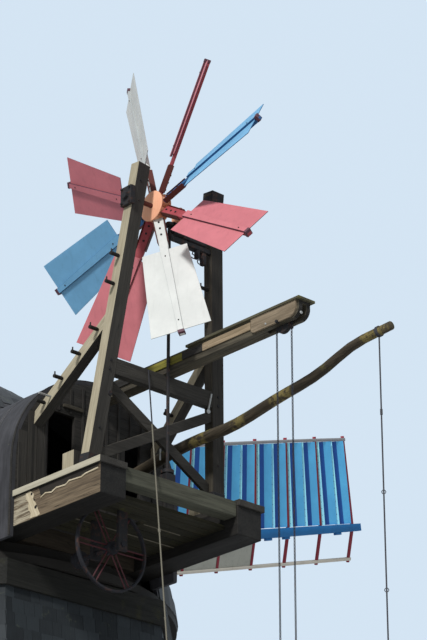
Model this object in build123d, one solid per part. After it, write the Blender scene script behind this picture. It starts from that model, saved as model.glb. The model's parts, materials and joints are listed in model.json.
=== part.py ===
from build123d import *
from math import atan2, cos, degrees, hypot, radians, sin, sqrt, tan
import os

# A smock mill: a brick base, a boarded eight-sided tower, a turning cap with a
# fan at its rear, and four shuttered sails at its front. Millimetres, +Z up.
# The origin is on the ground at the tower's axis, +Y points to the sails.

# Tower, measured from the axis to the flat sides
BASE_HALF = 3900
BASE_TOP = 2600
BASE_WALL = 480
BASE_LEDGE = 100
SMOCK_FOOT_HALF = BASE_HALF - BASE_LEDGE
SMOCK_TOP_HALF = 2560
SMOCK_HEIGHT = 7400
SMOCK_TOP = BASE_TOP + SMOCK_HEIGHT
SMOCK_WALL = 220
BATTER = (SMOCK_FOOT_HALF - SMOCK_TOP_HALF) / (SMOCK_TOP - BASE_TOP)
FLOOR_THICK = 60
GROUND_FLOOR = 80
SECOND_FLOOR = 6000
DUST_FLOOR_DROP = 440
DUST_FLOOR = SMOCK_TOP - DUST_FLOOR_DROP

# Doorway in the rear side and its leaf
DOORWAY_WIDTH = 1200
DOORWAY_TOP = 2230
DOOR_FRAME = 90
DOOR_GAP = 8
DOOR_THICK = 55
DOOR_SET_BACK = 120
HINGE_PIN = 10
HINGE_IN = 2.3
HANDLE_HEIGHT = 1080

# Windows: frame bars and panes
FRAME_BAR = 60
FRAME_DEPTH = 90
GLAZING_BAR = 24
PANE = 6

# Gap left where one piece is seated on another
SEAT = 0.3

# Curb on top of the tower, and the cap's own ring above it
CURB_OVERHANG = 80
CURB_RISE = 180
CURB_SKIRT = 100
CURB_HALF = SMOCK_TOP_HALF + CURB_OVERHANG
CURB_TOP = SMOCK_TOP + CURB_RISE
CURB_LIP = SMOCK_TOP - CURB_SKIRT
RING_INNER = 2230
RING_OUTER = 2470
RING_GAP = 20
TRACK_INNER = 2300
TRACK_OUTER = 2400
RING_HEIGHT = 290
RING_TOP = CURB_TOP + RING_GAP + RING_HEIGHT
SOLE_OUTER = 2700
SOLE_THICK = 100
SOLE_TOP = CURB_TOP + RING_GAP + SOLE_THICK

# Cap: the two long beams, the domed roof and the barrel roofs
BEAM_X = 945
BEAM_WIDTH = 340
BEAM_HEIGHT = 320
BEAM_TOP = RING_TOP + BEAM_HEIGHT
BEAM_REAR = -4150
BEAM_FRONT = 2700
COPING = 70
COPING_WIDTH = 370
DOME_HEIGHT = 2540
DOME_TOP = BEAM_TOP + DOME_HEIGHT
DOME_CROWN = 90
DOME_SHELL = 60
ARCH_RADIUS = 1160
ARCH_WALL = 440
ARCH_CENTRE = BEAM_TOP + ARCH_WALL
ARCH_SHELL = 45
SKIRT_DROP = 430
SKIRT = BEAM_TOP - SKIRT_DROP
GABLE_REAR = -2750
GABLE_FRONT = 2760
GABLE_THICK = 45

# Stage between the rear ends of the long beams
END_BEAM_DEPTH = 190
END_BEAM_HEIGHT = 170
DECK_DROP = 170
DECK_TOP = BEAM_TOP - DECK_DROP
DECK_THICK = 40

# Fan trestle: it leans to the rear, and its posts lean together
TRESTLE_FOOT_Y = -3670
TRESTLE_LEAN = degrees(atan2(358, 3560))
POST_FOOT_X = 885
POST_TOP_X = 530
POST_LENGTH = 3580
POST_WIDTH = 162
POST_DEPTH = 130
HEEL_GAP = 75
HEEL_LENGTH = 185
HEEL_HEIGHT = 285
RAIL_LOW = 1125
RAIL_HIGH = 1300
RAIL_DEPTH = 110
BRACE_WIDTH = 115
BRACE_DEPTH = 46
STRUT_WIDTH = 130
STRUT_DEPTH = 120
STRUT_TOP = 1800
STRUT_FOOT_HEIGHT = 950
STRUT_FOOT_Z = BEAM_TOP + STRUT_FOOT_HEIGHT
STRUT_FOOT_X = 850
PEG_PITCH = 330
PEG_REACH = 118
PEG_RADIUS = 15
PEG_HORN = 8

# Fan
FAN_X = -270
FAN_SHAFT = 26
FAN_BLADES = 8
FAN_START = 30
FAN_INNER = 605
FAN_OUTER = 1670
FAN_INNER_HALF = 254
FAN_OUTER_HALF = 333
FAN_PITCH = 33
FAN_SHEET = 8
FAN_HEIGHT_ON_POST = 3166
HUB_STUB_END = 165
ARM_ROOT = 110
ARM_TIP = 56
ARM_THICK = 40

# Shaft that leads down from the fan, and the hand wheel below the stage
DRIVE_X = -75
DRIVE_RADIUS = 18
DRIVE_FOOT_HEIGHT = 140
DRIVE_FOOT = BEAM_TOP + DRIVE_FOOT_HEIGHT
HEAD_DROP = 290
WHEEL_X = -370
WHEEL_Y = -3450
WHEEL_DROP = 400
WHEEL_Z = DECK_TOP - WHEEL_DROP
WHEEL_RADIUS = 470
WHEEL_RIM = 34
WHEEL_SHAFT = 25
WHEEL_SHAFT_REAR = -3650
WHEEL_SHAFT_FRONT = -2900

# Beam that carries the endless chain
STRIKE_X = 50
STRIKE_WIDTH = 160
STRIKE_HEIGHT = 175
STRIKE_REAR = -5930
STRIKE_FRONT = -2200
CHEEK = 50
STRIKE_NOSE = 105
CHEEK_PLATE = 22
CHEEK_FRONT = -5240
STRIKE_CAP = 26
STRIKE_CAP_WIDTH = 235
STRIKE_CAP_FRONT = -4250
CHAIN_WHEEL_Y = -5630
CHAIN_WHEEL_RADIUS = 108
CHAIN_RADIUS = 9
CHAIN_LOW = 1400

# Brake lever and the ropes
LEVER_X = 500
LEVER_PIVOT_Y = -2350
LEVER_PIVOT_HEIGHT = 620
LEVER_PIVOT_Z = BEAM_TOP + LEVER_PIVOT_HEIGHT
LEVER_PIN = 25
ROPE_RADIUS = 8
ROPE_Y = -6530
ROPE_LOW = 1500

# Windshaft and sails
SHAFT_TILT = 9
HUB_Y = 3430
HUB_HEIGHT = 1025
HUB_Z = BEAM_TOP + HUB_HEIGHT
SHAFT_RADIUS = 230
SHAFT_TAIL = 5100
POLL_HALF = 270
POLL_LENGTH = 620
SAIL_START = 16
STOCK_OFFSET = 125
STOCK_ROOT = 260
STOCK_ROOT_DEPTH = 220
STOCK_TIP = 112
STOCK_TIP_DEPTH = 90
SAIL_LENGTH = 10510
SAIL_HEEL = 2100
SAIL_TIP_MARGIN = 150
SAIL_BAYS = 12
TRAIL_WIDTH = 1368
LEAD_WIDTH = 492
WEATHER_HEEL = 20
LEAD_ANGLE = 19
BAR_END = 52
BAR_WIDTH = 46
BAR_THICK = 30
LATH = 46
SHUTTER_THICK = 12
SHUTTER_GAP = 6
SHUTTER_OPEN = 5
SHUTTER_BATTEN = 44
PIVOT_RADIUS = 6
PIVOT_GAP = 0.55
LEAD_BOARD_END = 8300


def block(x0, x1, y0, y1, z0, z1):
    """A box between opposite corners."""
    size = Box(x1 - x0, y1 - y0, z1 - z0)
    return Pos((x0 + x1) / 2, (y0 + y1) / 2, (z0 + z1) / 2) * size


def octagon(half, z):
    """An eight-sided outline with flats facing the main directions."""
    outline = RegularPolygon(half, 8, major_radius=False, rotation=22.5)
    return Pos(0, 0, z) * outline


def eight_sided(half_low, z_low, half_high, z_high):
    """A solid eight-sided block, tapered where its two halves differ."""
    return loft([octagon(half_low, z_low), octagon(half_high, z_high)])


def smock_half(z):
    """Half the tower's width across the flats at height z."""
    return SMOCK_FOOT_HALF - BATTER * (z - BASE_TOP)


def wall_place(angle, z, sloped):
    """A plane on a wall's outer face: x along it, y up it, z outwards."""
    tilt = atan2(BATTER, 1) if sloped else 0
    half = smock_half(z) if sloped else BASE_HALF
    a = radians(angle)
    out = (cos(a) * cos(tilt), sin(a) * cos(tilt), sin(tilt))
    return Plane(
        origin=(half * cos(a), half * sin(a), z),
        x_dir=(-sin(a), cos(a), 0),
        z_dir=out,
    )


def rod(start, end, radius):
    """A round bar between two points."""
    run = Vector(*end) - Vector(*start)
    place = Plane(origin=start, z_dir=run)
    return place * extrude(Circle(radius), run.length)


def timber(start, end, width, depth, side=(1, 0, 0)):
    """A squared bar between two points; width lies along side."""
    run = Vector(*end) - Vector(*start)
    place = Plane(origin=start, x_dir=side, z_dir=run)
    return place * extrude(Rectangle(width, depth), run.length)


def wall_half(solid, side):
    """The part of a solid left (-1) or right (1) of the middle plane."""
    reach = 5000
    x0, x1 = (-reach, 0) if side < 0 else (0, reach)
    return solid & block(x0, x1, -reach, reach, -100, 12000)


# Windows: wall direction in degrees, sill height, width, height, sloped wall
WINDOWS = [
    (0, 1000, 800, 900, False),
    (180, 1000, 800, 900, False),
    (-90, 4300, 640, 760, True),
    (90, 4300, 640, 760, True),
    (0, 4300, 640, 760, True),
    (180, 4300, 640, 760, True),
    (-90, 7200, 560, 640, True),
    (0, 7200, 560, 640, True),
    (180, 7200, 560, 640, True),
]


def window_holes():
    """The blocks that cut the window openings."""
    holes = []
    for angle, sill, width, height, sloped in WINDOWS:
        place = wall_place(angle, sill, sloped)
        hole = Pos(0, height / 2, 0) * Box(width, height, 1400)
        holes.append(place * hole)
    return holes


def window_frame(width, height):
    """A frame with one upright and one cross bar, its face at z = 0."""
    outer = Box(width, height, FRAME_DEPTH)
    inner = Box(width - 2 * FRAME_BAR, height - 2 * FRAME_BAR, FRAME_DEPTH)
    bars = Box(GLAZING_BAR, height - FRAME_BAR, 30)
    bars += Box(width - FRAME_BAR, GLAZING_BAR, 30)
    frame = (outer - inner) + Pos(0, 0, 15) * bars
    return Pos(0, height / 2, -FRAME_DEPTH / 2 - 40) * frame


def window_pane(width, height):
    """One sheet of glass just behind the glazing bars."""
    sheet = Box(width - 2 * FRAME_BAR, height - 2 * FRAME_BAR, PANE)
    return Pos(0, height / 2, -FRAME_DEPTH / 2 - 40 - PANE / 2) * sheet


def base_walls():
    """The brick base as a left part, a right part and the part over the door."""
    outer = eight_sided(BASE_HALF, 0, BASE_HALF, BASE_TOP)
    inner_half = BASE_HALF - BASE_WALL
    ring = outer - eight_sided(inner_half, 0, inner_half, BASE_TOP)
    for hole in window_holes()[:2]:
        ring -= hole
    half = DOORWAY_WIDTH / 2
    column = block(-half, half, -BASE_HALF - 50, -inner_half + 50, 0, BASE_TOP)
    over = ring & block(
        -half, half, -BASE_HALF - 50, -inner_half + 50, DOORWAY_TOP, BASE_TOP
    )
    sides = ring - column
    return wall_half(sides, -1), wall_half(sides, 1), over


def smock_outer():
    """The tower's outer form."""
    return eight_sided(SMOCK_FOOT_HALF, BASE_TOP, SMOCK_TOP_HALF, SMOCK_TOP)


def smock_inner():
    """The hollow inside the tower's boarding."""
    return eight_sided(
        SMOCK_FOOT_HALF - SMOCK_WALL,
        BASE_TOP,
        SMOCK_TOP_HALF - SMOCK_WALL,
        SMOCK_TOP,
    )


def smock_walls():
    """The boarded tower as a left and a right half, with window openings."""
    shell = smock_outer() - smock_inner()
    for hole in window_holes()[2:]:
        shell -= hole
    return wall_half(shell, -1), wall_half(shell, 1)


def floors():
    """Ground floor, first floor, second floor and the floor under the cap."""
    inner_half = BASE_HALF - BASE_WALL
    ground = eight_sided(inner_half, 0, inner_half, GROUND_FLOOR)
    half = DOORWAY_WIDTH / 2
    ground += block(-half, half, -BASE_HALF, -inner_half + 20, 0, GROUND_FLOOR)
    wide = SMOCK_FOOT_HALF - SMOCK_WALL - 15
    first = eight_sided(wide, BASE_TOP, wide, BASE_TOP + FLOOR_THICK)
    upper = []
    for z in (SECOND_FLOOR, DUST_FLOOR):
        slab = block(-5000, 5000, -5000, 5000, z, z + FLOOR_THICK)
        upper.append(smock_inner() & slab)
    return ground, first, upper[0], upper[1]


def curb():
    """The timber ring on the tower, with a fascia that laps over the boards."""
    body = eight_sided(CURB_HALF, CURB_LIP, CURB_HALF, CURB_TOP)
    body -= smock_outer()
    depth = CURB_TOP - SMOCK_TOP
    return body - Pos(0, 0, SMOCK_TOP + depth / 2) * Cylinder(RING_INNER, depth)


def cap_ring():
    """The cap's turning ring with the flat sole that carries the dome."""
    low = CURB_TOP + RING_GAP
    ring = Pos(0, 0, (low + RING_TOP) / 2) * Cylinder(RING_OUTER, RING_TOP - low)
    sole = Pos(0, 0, (low + SOLE_TOP) / 2) * Cylinder(SOLE_OUTER, SOLE_TOP - low)
    hole = Pos(0, 0, (low + RING_TOP) / 2) * Cylinder(RING_INNER, RING_TOP - low)
    track_low = CURB_TOP + SEAT
    track = Cylinder(TRACK_OUTER, low - track_low) - Cylinder(TRACK_INNER, low - track_low)
    return ring + sole - hole + Pos(0, 0, (low + track_low) / 2) * track


def long_beam(side):
    """One of the two beams that run through the cap to the stage."""
    x = side * BEAM_X
    half = BEAM_WIDTH / 2
    return block(x - half, x + half, BEAM_REAR, BEAM_FRONT, RING_TOP, BEAM_TOP)


def coping(side):
    """The weather board on a long beam behind the gable."""
    inner = BEAM_X - BEAM_WIDTH / 2
    outer = inner + COPING_WIDTH
    x0, x1 = (-outer, -inner) if side < 0 else (inner, outer)
    return block(x0, x1, BEAM_REAR - 25, GABLE_REAR, BEAM_TOP, BEAM_TOP + COPING)


def end_beam():
    """The cross beam between the rear ends of the long beams."""
    half = BEAM_X - BEAM_WIDTH / 2
    rear = BEAM_REAR + 20
    top = BEAM_TOP + 50
    return block(-half, half, rear, rear + END_BEAM_DEPTH, top - END_BEAM_HEIGHT, top)


def deck():
    """The stage boards, with a slot for the hand wheel."""
    half = BEAM_X - BEAM_WIDTH / 2
    rear = BEAM_REAR + 20 + END_BEAM_DEPTH
    boards = block(-half, half, rear, GABLE_REAR, DECK_TOP - DECK_THICK, DECK_TOP)
    reach = 390
    slot = block(
        WHEEL_X - 370, WHEEL_X + reach, WHEEL_Y - 60, WHEEL_Y + 60,
        DECK_TOP - 140, DECK_TOP + 60,
    )
    return boards - slot


def cap_cross_beams():
    """Beams between the long beams inside the cap, one node."""
    half = BEAM_X - BEAM_WIDTH / 2
    beams = []
    for y in (-2350, -1450, 0, 1300):
        beams.append(block(-half, half, y - 130, y + 130, RING_TOP, BEAM_TOP))
    return beams


def shaft_z(y):
    """Height of the windshaft's middle line above a point on the Y axis."""
    return HUB_Z + (y - HUB_Y) * tan(radians(SHAFT_TILT))


SHAFT_PLANE = Plane(
    origin=(0, HUB_Y, HUB_Z),
    x_dir=(1, 0, 0),
    z_dir=(0, -cos(radians(SHAFT_TILT)), -sin(radians(SHAFT_TILT))),
)


def shaft_clear(radius, start, length):
    """A round space along the windshaft, start measured from the hub to the rear."""
    return SHAFT_PLANE * Pos(0, 0, start + length / 2) * Cylinder(radius, length)


def neck_bearing():
    """The beam and block across the front of the cap that carry the shaft's neck."""
    y0, y1 = 2250, 2560
    seat = BEAM_TOP + 520
    beam = block(-1100, 1100, y0, y1, BEAM_TOP, seat)
    pillow = block(-330, 330, y0, y1, seat, seat + 230)
    return beam + pillow - shaft_clear(SHAFT_RADIUS + SEAT, 400, 2400)


def tail_bearing():
    """The block that carries the tail of the windshaft."""
    body = block(-300, 300, -1580, -1320, BEAM_TOP, BEAM_TOP + 320)
    return body - shaft_clear(SHAFT_RADIUS + SEAT, 4000, 1600)


def dome_form(shrink):
    """The solid form of the domed roof, smaller by a wall's thickness."""
    base = SOLE_OUTER - shrink
    top = DOME_TOP - shrink
    bulge = (1830 - 0.75 * shrink, 0, BEAM_TOP + 1310 - 0.65 * shrink)
    edge = ThreePointArc((base, 0, SOLE_TOP), bulge, (DOME_CROWN, 0, top))
    rest = Polyline((DOME_CROWN, 0, top), (0, 0, top), (0, 0, SOLE_TOP), (base, 0, SOLE_TOP))
    return revolve(make_face(edge.edges() + rest.edges()), Axis.Z)


def arch_face(radius, half, low):
    """An upright-sided arch in the XZ plane."""
    rise = ARCH_CENTRE - low
    sides = Pos(0, low + rise / 2) * Rectangle(2 * half, rise)
    return sides + Pos(0, ARCH_CENTRE) * Circle(radius)


def arch_prism(shrink, y0, y1, low):
    """The arch drawn out along Y."""
    face = arch_face(ARCH_RADIUS - shrink, ARCH_RADIUS - shrink, low)
    flat = Plane(origin=(0, y1, 0), x_dir=(1, 0, 0), z_dir=(0, -1, 0)) * face
    solid = extrude(flat, amount=y1 - y0)
    return solid & block(-3000, 3000, y0, y1, low, DOME_TOP + 650)


def barrel_roof(y0, y1):
    """A barrel roof from the gable into the dome."""
    shell = arch_prism(0, y0, y1, SKIRT) - arch_prism(ARCH_SHELL, y0, y1, SKIRT)
    return shell - dome_form(DOME_SHELL)


def dome_roof():
    """The domed roof, open where the two barrel roofs and the beams go through."""
    shell = dome_form(0) - dome_form(DOME_SHELL)
    shell -= arch_prism(0, -2800, -300, SOLE_TOP)
    return shell - arch_prism(0, 300, 2800, SOLE_TOP)


def rear_gable():
    """The boarded gable, with a hatch and slots for the lever and the beam."""
    y0, y1 = GABLE_REAR, GABLE_REAR + GABLE_THICK
    wall = arch_prism(ARCH_SHELL + SEAT, y0, y1, DECK_TOP)
    for side in (-1, 1):
        x = side * BEAM_X
        wall -= block(x - BEAM_WIDTH, x + BEAM_WIDTH, y0, y1, 10000, BEAM_TOP)
    half = BEAM_X - BEAM_WIDTH / 2
    wall += block(-half, half, y0, y1, DECK_TOP - DECK_THICK, BEAM_TOP)
    wall -= block(-690, -330, y0, y1, BEAM_TOP + 320, BEAM_TOP + 1120)
    wall -= block(LEVER_X - 110, LEVER_X + 110, y0, y1, BEAM_TOP + 340, BEAM_TOP + 1070)
    x0, x1 = STRIKE_X - STRIKE_WIDTH / 2, STRIKE_X + STRIKE_WIDTH / 2
    low = strike_low()
    return wall - block(x0, x1, y0, y1, low, low + STRIKE_HEIGHT)


def front_gable():
    """The boarded front of the cap round the windshaft."""
    y0, y1 = GABLE_FRONT - GABLE_THICK, GABLE_FRONT
    wall = arch_prism(ARCH_SHELL + SEAT, y0, y1, BEAM_TOP)
    half = BEAM_X - BEAM_WIDTH / 2
    wall += block(-half, half, y0, y1, SKIRT, BEAM_TOP)
    full = ARCH_RADIUS - ARCH_SHELL - SEAT
    wall += block(-full, full, BEAM_FRONT, y1, SKIRT, BEAM_TOP)
    return wall - shaft_clear(SHAFT_RADIUS + 30, 300, 1200)


def trestle(solid):
    """Puts a piece drawn in the trestle's own upright plane in its place."""
    place = Pos(0, TRESTLE_FOOT_Y, BEAM_TOP + COPING)
    return place * Rot(TRESTLE_LEAN, 0, 0) * solid


def trestle_point(x, up, back=0):
    """Where a point of the trestle's plane is: up along it, back to the rear."""
    a = radians(TRESTLE_LEAN)
    y = TRESTLE_FOOT_Y - up * sin(a) - back * cos(a)
    z = BEAM_TOP + COPING + up * cos(a) - back * sin(a)
    return (x, y, z)


def post_x(up):
    """Distance of a post's middle line from the middle plane."""
    return POST_FOOT_X + (POST_TOP_X - POST_FOOT_X) * up / POST_LENGTH


def post_form(side):
    """One leaning post as drawn, cut level at the coping."""
    start = (side * post_x(-60), 0, -60)
    end = (side * POST_TOP_X, 0, POST_LENGTH)
    return trestle(timber(start, end, POST_WIDTH, POST_DEPTH))


def post(side):
    """One post, with the hole for the fan shaft."""
    body = post_form(side)
    body -= block(-2000, 2000, -5000, -3000, 9000, BEAM_TOP + COPING)
    centre = fan_centre()
    hole = Pos(0, centre[1], centre[2]) * Rot(0, 90, 0) * Cylinder(FAN_SHAFT + 4, 3000)
    return body - hole


def heel(side):
    """The block on the coping just in front of a post's foot."""
    x = side * POST_FOOT_X
    half = POST_WIDTH / 2
    low = BEAM_TOP + COPING
    y0 = TRESTLE_FOOT_Y + POST_DEPTH / 2 + HEEL_GAP
    return block(x - half, x + half, y0, y0 + HEEL_LENGTH, low, low + HEEL_HEIGHT)


def rail():
    """The cross rail between the posts."""
    bar = block(-900, 900, -RAIL_DEPTH / 2 - 8, RAIL_DEPTH / 2 - 8, RAIL_LOW, RAIL_HIGH)
    bar = trestle(bar) - post_form(-1) - post_form(1) - striking_form()
    return bar.solids().sort_by(SortBy.VOLUME)[-1]


def brace(side, back):
    """One diagonal of the cross between the posts, below the rail."""
    low_up, high_up = 130, RAIL_LOW - 62
    start = (side * (post_x(low_up) - 20), back, low_up + 60)
    end = (-side * (post_x(high_up) - 20), back, high_up)
    bar = trestle(timber(start, end, BRACE_WIDTH, BRACE_DEPTH, (cos(0.62), 0, 0.5)))
    bar -= post_form(-1)
    bar -= post_form(1)
    return bar.solids().sort_by(SortBy.VOLUME)[-1]


def strut(side):
    """A raking strut from a post down to the gable."""
    top = trestle_point(side * post_x(STRUT_TOP), STRUT_TOP)
    foot = (side * STRUT_FOOT_X, GABLE_REAR + 200, STRUT_FOOT_Z - 165)
    bar = timber(foot, top, STRUT_WIDTH, STRUT_DEPTH)
    bar -= post_form(side)
    bar &= block(-2000, 2000, -5000, GABLE_REAR, 10000, 15000)
    return bar.solids().sort_by(SortBy.VOLUME)[-1]


def strut_line(side, along):
    """A point on a strut's middle line, measured down from the post."""
    top = Vector(*trestle_point(side * post_x(STRUT_TOP), STRUT_TOP))
    foot = Vector(side * STRUT_FOOT_X, GABLE_REAR + 200, STRUT_FOOT_Z - 165)
    return top + (foot - top).normalized() * along


def peg(root):
    """A climbing peg that starts on a timber's left face and turns up."""
    tip = root + Vector(-PEG_REACH, 0, 0)
    bar = rod(tuple(root), tuple(tip), PEG_RADIUS)
    horn = tip + Vector(PEG_HORN + 3, 0, 0)
    return bar + rod(tuple(horn), tuple(horn + Vector(0, 0, 52)), PEG_HORN)


def pegs():
    """The climbing pegs on both posts and both struts."""
    found = []
    for side in (-1, 1):
        for along in (230, 560, 890, 1220):
            middle = strut_line(side, along)
            root = Vector(middle.X - STRUT_WIDTH / 2, middle.Y, middle.Z)
            found.append(peg(root))
        for up in (STRUT_TOP + 330, STRUT_TOP + 660):
            middle = Vector(*trestle_point(side * post_x(up), up))
            root = Vector(middle.X - POST_WIDTH / 2, middle.Y, middle.Z)
            found.append(peg(root))
    timbers = [post_form(-1), post_form(1), strut(-1), strut(1)]
    clear = []
    for piece in found:
        for wood in timbers:
            piece -= wood
        clear.append(piece)
    return clear


def fan_centre():
    """The middle of the fan."""
    y, z = trestle_point(0, FAN_HEIGHT_ON_POST)[1:]
    return (FAN_X, y, z)


def bearings():
    """Iron plates on the outer faces of the posts that carry the fan shaft."""
    cx, cy, cz = fan_centre()
    found = []
    for side in (-1, 1):
        x = side * (post_x(FAN_HEIGHT_ON_POST) + POST_WIDTH / 2 + 22)
        plate = Box(60, 170, 220)
        hole = Rot(0, 90, 0) * Cylinder(FAN_SHAFT + 1, 200)
        body = Pos(x, cy, cz) * (plate - hole)
        found.append(body - post_form(side))
    return found


def fan_place(angle):
    """Where a blade lies: x along its length, y across it, at a fan angle."""
    a = radians(angle)
    out = (0, -sin(a), cos(a))
    across = Vector(0, cos(a), sin(a)) * cos(radians(FAN_PITCH))
    across += Vector(1, 0, 0) * sin(radians(FAN_PITCH))
    normal = Vector(*out).cross(across)
    return Plane(origin=fan_centre(), x_dir=out, z_dir=tuple(normal))


def fan_blade(angle):
    """One painted board, wider at its outer edge."""
    outline = Polygon(
        (FAN_INNER, -FAN_INNER_HALF),
        (FAN_OUTER, -FAN_OUTER_HALF),
        (FAN_OUTER, FAN_OUTER_HALF),
        (FAN_INNER, FAN_INNER_HALF),
        align=None,
    )
    return fan_place(angle) * Pos(0, 0, ARM_THICK / 2) * extrude(outline, FAN_SHEET)


def fan_arm(angle):
    """The tapered arm that a blade is bolted to."""
    start, end = HUB_STUB_END + SEAT, FAN_OUTER + 40
    sections = []
    for x, width in ((start, ARM_ROOT), (end, ARM_TIP)):
        plane = Plane(origin=(x, 0, 0), x_dir=(0, 1, 0), z_dir=(1, 0, 0))
        sections.append(plane * Rectangle(width, ARM_THICK))
    return fan_place(angle) * loft(sections, ruled=True)


def fan_hub():
    """Shaft, the two disc plates and the bevel wheel, with the eight arms."""
    cx, cy, cz = fan_centre()
    left = -post_x(FAN_HEIGHT_ON_POST) - POST_WIDTH / 2 - 75
    right = post_x(FAN_HEIGHT_ON_POST) + POST_WIDTH / 2 + 75
    hub = rod((left, cy, cz), (right, cy, cz), FAN_SHAFT)
    for x in (cx - 62, cx + 62):
        hub += Pos(x, cy, cz) * Rot(0, 90, 0) * Cylinder(175, 10)
    hub += Pos(cx, cy, cz) * Rot(0, 90, 0) * Cylinder(70, 124)
    for k in range(FAN_BLADES):
        a = radians(FAN_START + 360 / FAN_BLADES * k)
        stub = Pos(0, 0, HUB_STUB_END - 55) * Box(114, 50, 110)
        hub += Pos(cx, cy, cz) * Rot(degrees(a), 0, 0) * stub
    bevel = Pos(65, cy, cz) * Rot(0, 90, 0) * Cone(105, 70, 34)
    return hub + bevel


def fan_arms():
    """The eight arms."""
    step = 360 / FAN_BLADES
    return [fan_arm(FAN_START + step * k) for k in range(FAN_BLADES)]


def fan_blades(indices):
    """The blades of one colour."""
    step = 360 / FAN_BLADES
    return [fan_blade(FAN_START + step * k) for k in indices]


def drive_shaft():
    """The upright shaft with a bevel pinion at its top and a wheel at its foot."""
    cx, cy, cz = fan_centre()
    top = cz - 118
    shaft = rod((DRIVE_X, cy, DRIVE_FOOT), (DRIVE_X, cy, top), DRIVE_RADIUS)
    shaft += Pos(DRIVE_X, cy, top - 20) * Cone(55, 40, 40)
    return shaft + Pos(DRIVE_X, cy, DRIVE_FOOT + 60) * Cylinder(70, 40)


def drive_bearing():
    """The footstep of the upright shaft on the end beam."""
    cy = fan_centre()[1]
    top = BEAM_TOP + 50
    body = block(DRIVE_X - 60, DRIVE_X + 60, cy - 60, cy + 60, top, DRIVE_FOOT + 30)
    return body - Pos(DRIVE_X, cy, DRIVE_FOOT + 50) * Cylinder(DRIVE_RADIUS + 1, 100)


def drive_head():
    """The iron arm from the right post that steadies the upright shaft's top."""
    cx, cy, cz = fan_centre()
    z = cz - HEAD_DROP
    arm = block(DRIVE_X, 900, cy - 22, cy + 22, z - 26, z + 26)
    eye = Pos(DRIVE_X, cy, z) * Cylinder(46, 52)
    arm = (arm + eye) - Pos(DRIVE_X, cy, z) * Cylinder(DRIVE_RADIUS + 1, 400)
    arm -= post_form(1)
    return arm.solids().sort_by(Axis.X)[0]


def hand_wheel():
    """The six-spoked wheel on its shaft below the stage."""
    rim = Cylinder(WHEEL_RADIUS, 50) - Cylinder(WHEEL_RADIUS - WHEEL_RIM, 50)
    wheel = rim + Cylinder(75, 90)
    for k in range(3):
        wheel += Rot(0, 0, 30 + 60 * k) * Box(2 * WHEEL_RADIUS - 30, 40, 14)
    place = Pos(WHEEL_X, WHEEL_Y, WHEEL_Z) * Rot(90, 0, 0)
    wheel = place * wheel
    front = (WHEEL_X, WHEEL_SHAFT_FRONT, WHEEL_Z)
    wheel += rod((WHEEL_X, WHEEL_SHAFT_REAR, WHEEL_Z), front, WHEEL_SHAFT)
    return wheel + rod((WHEEL_X, WHEEL_SHAFT_FRONT - 80, WHEEL_Z), front, 95)


def wheel_hangers():
    """Two brackets that hang the wheel's shaft from the stage boards."""
    found = []
    for y in (-3620, -3200):
        top = DECK_TOP - DECK_THICK
        plate = block(WHEEL_X - 60, WHEEL_X + 60, y - 20, y + 20, WHEEL_Z - 70, top)
        hole = rod((WHEEL_X, y - 50, WHEEL_Z), (WHEEL_X, y + 50, WHEEL_Z), WHEEL_SHAFT + 1)
        found.append(plate - hole)
    return found


def strike_low():
    """The underside of the striking beam, which rests on the rail."""
    return BEAM_TOP + 1362


def striking_form():
    """The striking beam before its end is opened."""
    half = STRIKE_WIDTH / 2
    x0, x1 = STRIKE_X - half, STRIKE_X + half
    low = strike_low()
    return block(x0, x1, STRIKE_REAR, STRIKE_FRONT, low, low + STRIKE_HEIGHT)


def cheek_plate(side):
    """A plate with rounded lower corners on one side of the beam's end."""
    half = STRIKE_WIDTH / 2
    x0, x1 = sorted((STRIKE_X + side * half, STRIKE_X + side * (half + CHEEK_PLATE)))
    low = strike_low()
    plate = block(x0, x1, STRIKE_REAR + 30, CHEEK_FRONT, low + 14, low + STRIKE_HEIGHT)
    under = plate.edges().filter_by(Axis.X).group_by(Axis.Z)[0].sort_by(Axis.Y)
    plate = fillet(under[0], STRIKE_NOSE - 10)
    under = plate.edges().filter_by(Axis.X).group_by(Axis.Z)[0].sort_by(Axis.Y)
    return fillet(under[-1], 45)


def striking_beam():
    """The beam over the rail, capped, and open at its rear end for the chain wheel."""
    low = strike_low()
    half = STRIKE_WIDTH / 2
    beam = striking_form()
    under = beam.edges().filter_by(Axis.X).group_by(Axis.Z)[0].sort_by(Axis.Y)
    beam = fillet(under[0], STRIKE_NOSE)
    slot = block(
        STRIKE_X - half + CHEEK, STRIKE_X + half - CHEEK, STRIKE_REAR - 10, -5400, low - 10,
        low + STRIKE_HEIGHT - 30,
    )
    beam -= slot
    beam += cheek_plate(-1)
    beam += cheek_plate(1)
    cap = STRIKE_CAP_WIDTH / 2
    top = low + STRIKE_HEIGHT
    beam += block(
        STRIKE_X - cap, STRIKE_X + cap, STRIKE_REAR - 35, STRIKE_CAP_FRONT, top, top + STRIKE_CAP
    )
    pin = Pos(STRIKE_X, CHAIN_WHEEL_Y, chain_wheel_z()) * Rot(0, 90, 0)
    return beam - pin * Cylinder(17, 400)


def chain_wheel_z():
    """Height of the chain wheel's middle."""
    return strike_low() + 20


def chain_wheel():
    """The grooved wheel between the beam's cheeks, on its pin."""
    wheel = Cylinder(CHAIN_WHEEL_RADIUS - CHAIN_RADIUS, 50)
    wheel += Cylinder(17, STRIKE_WIDTH + 2 * CHEEK_PLATE + 36)
    return Pos(STRIKE_X, CHAIN_WHEEL_Y, chain_wheel_z()) * Rot(0, 90, 0) * wheel


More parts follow.
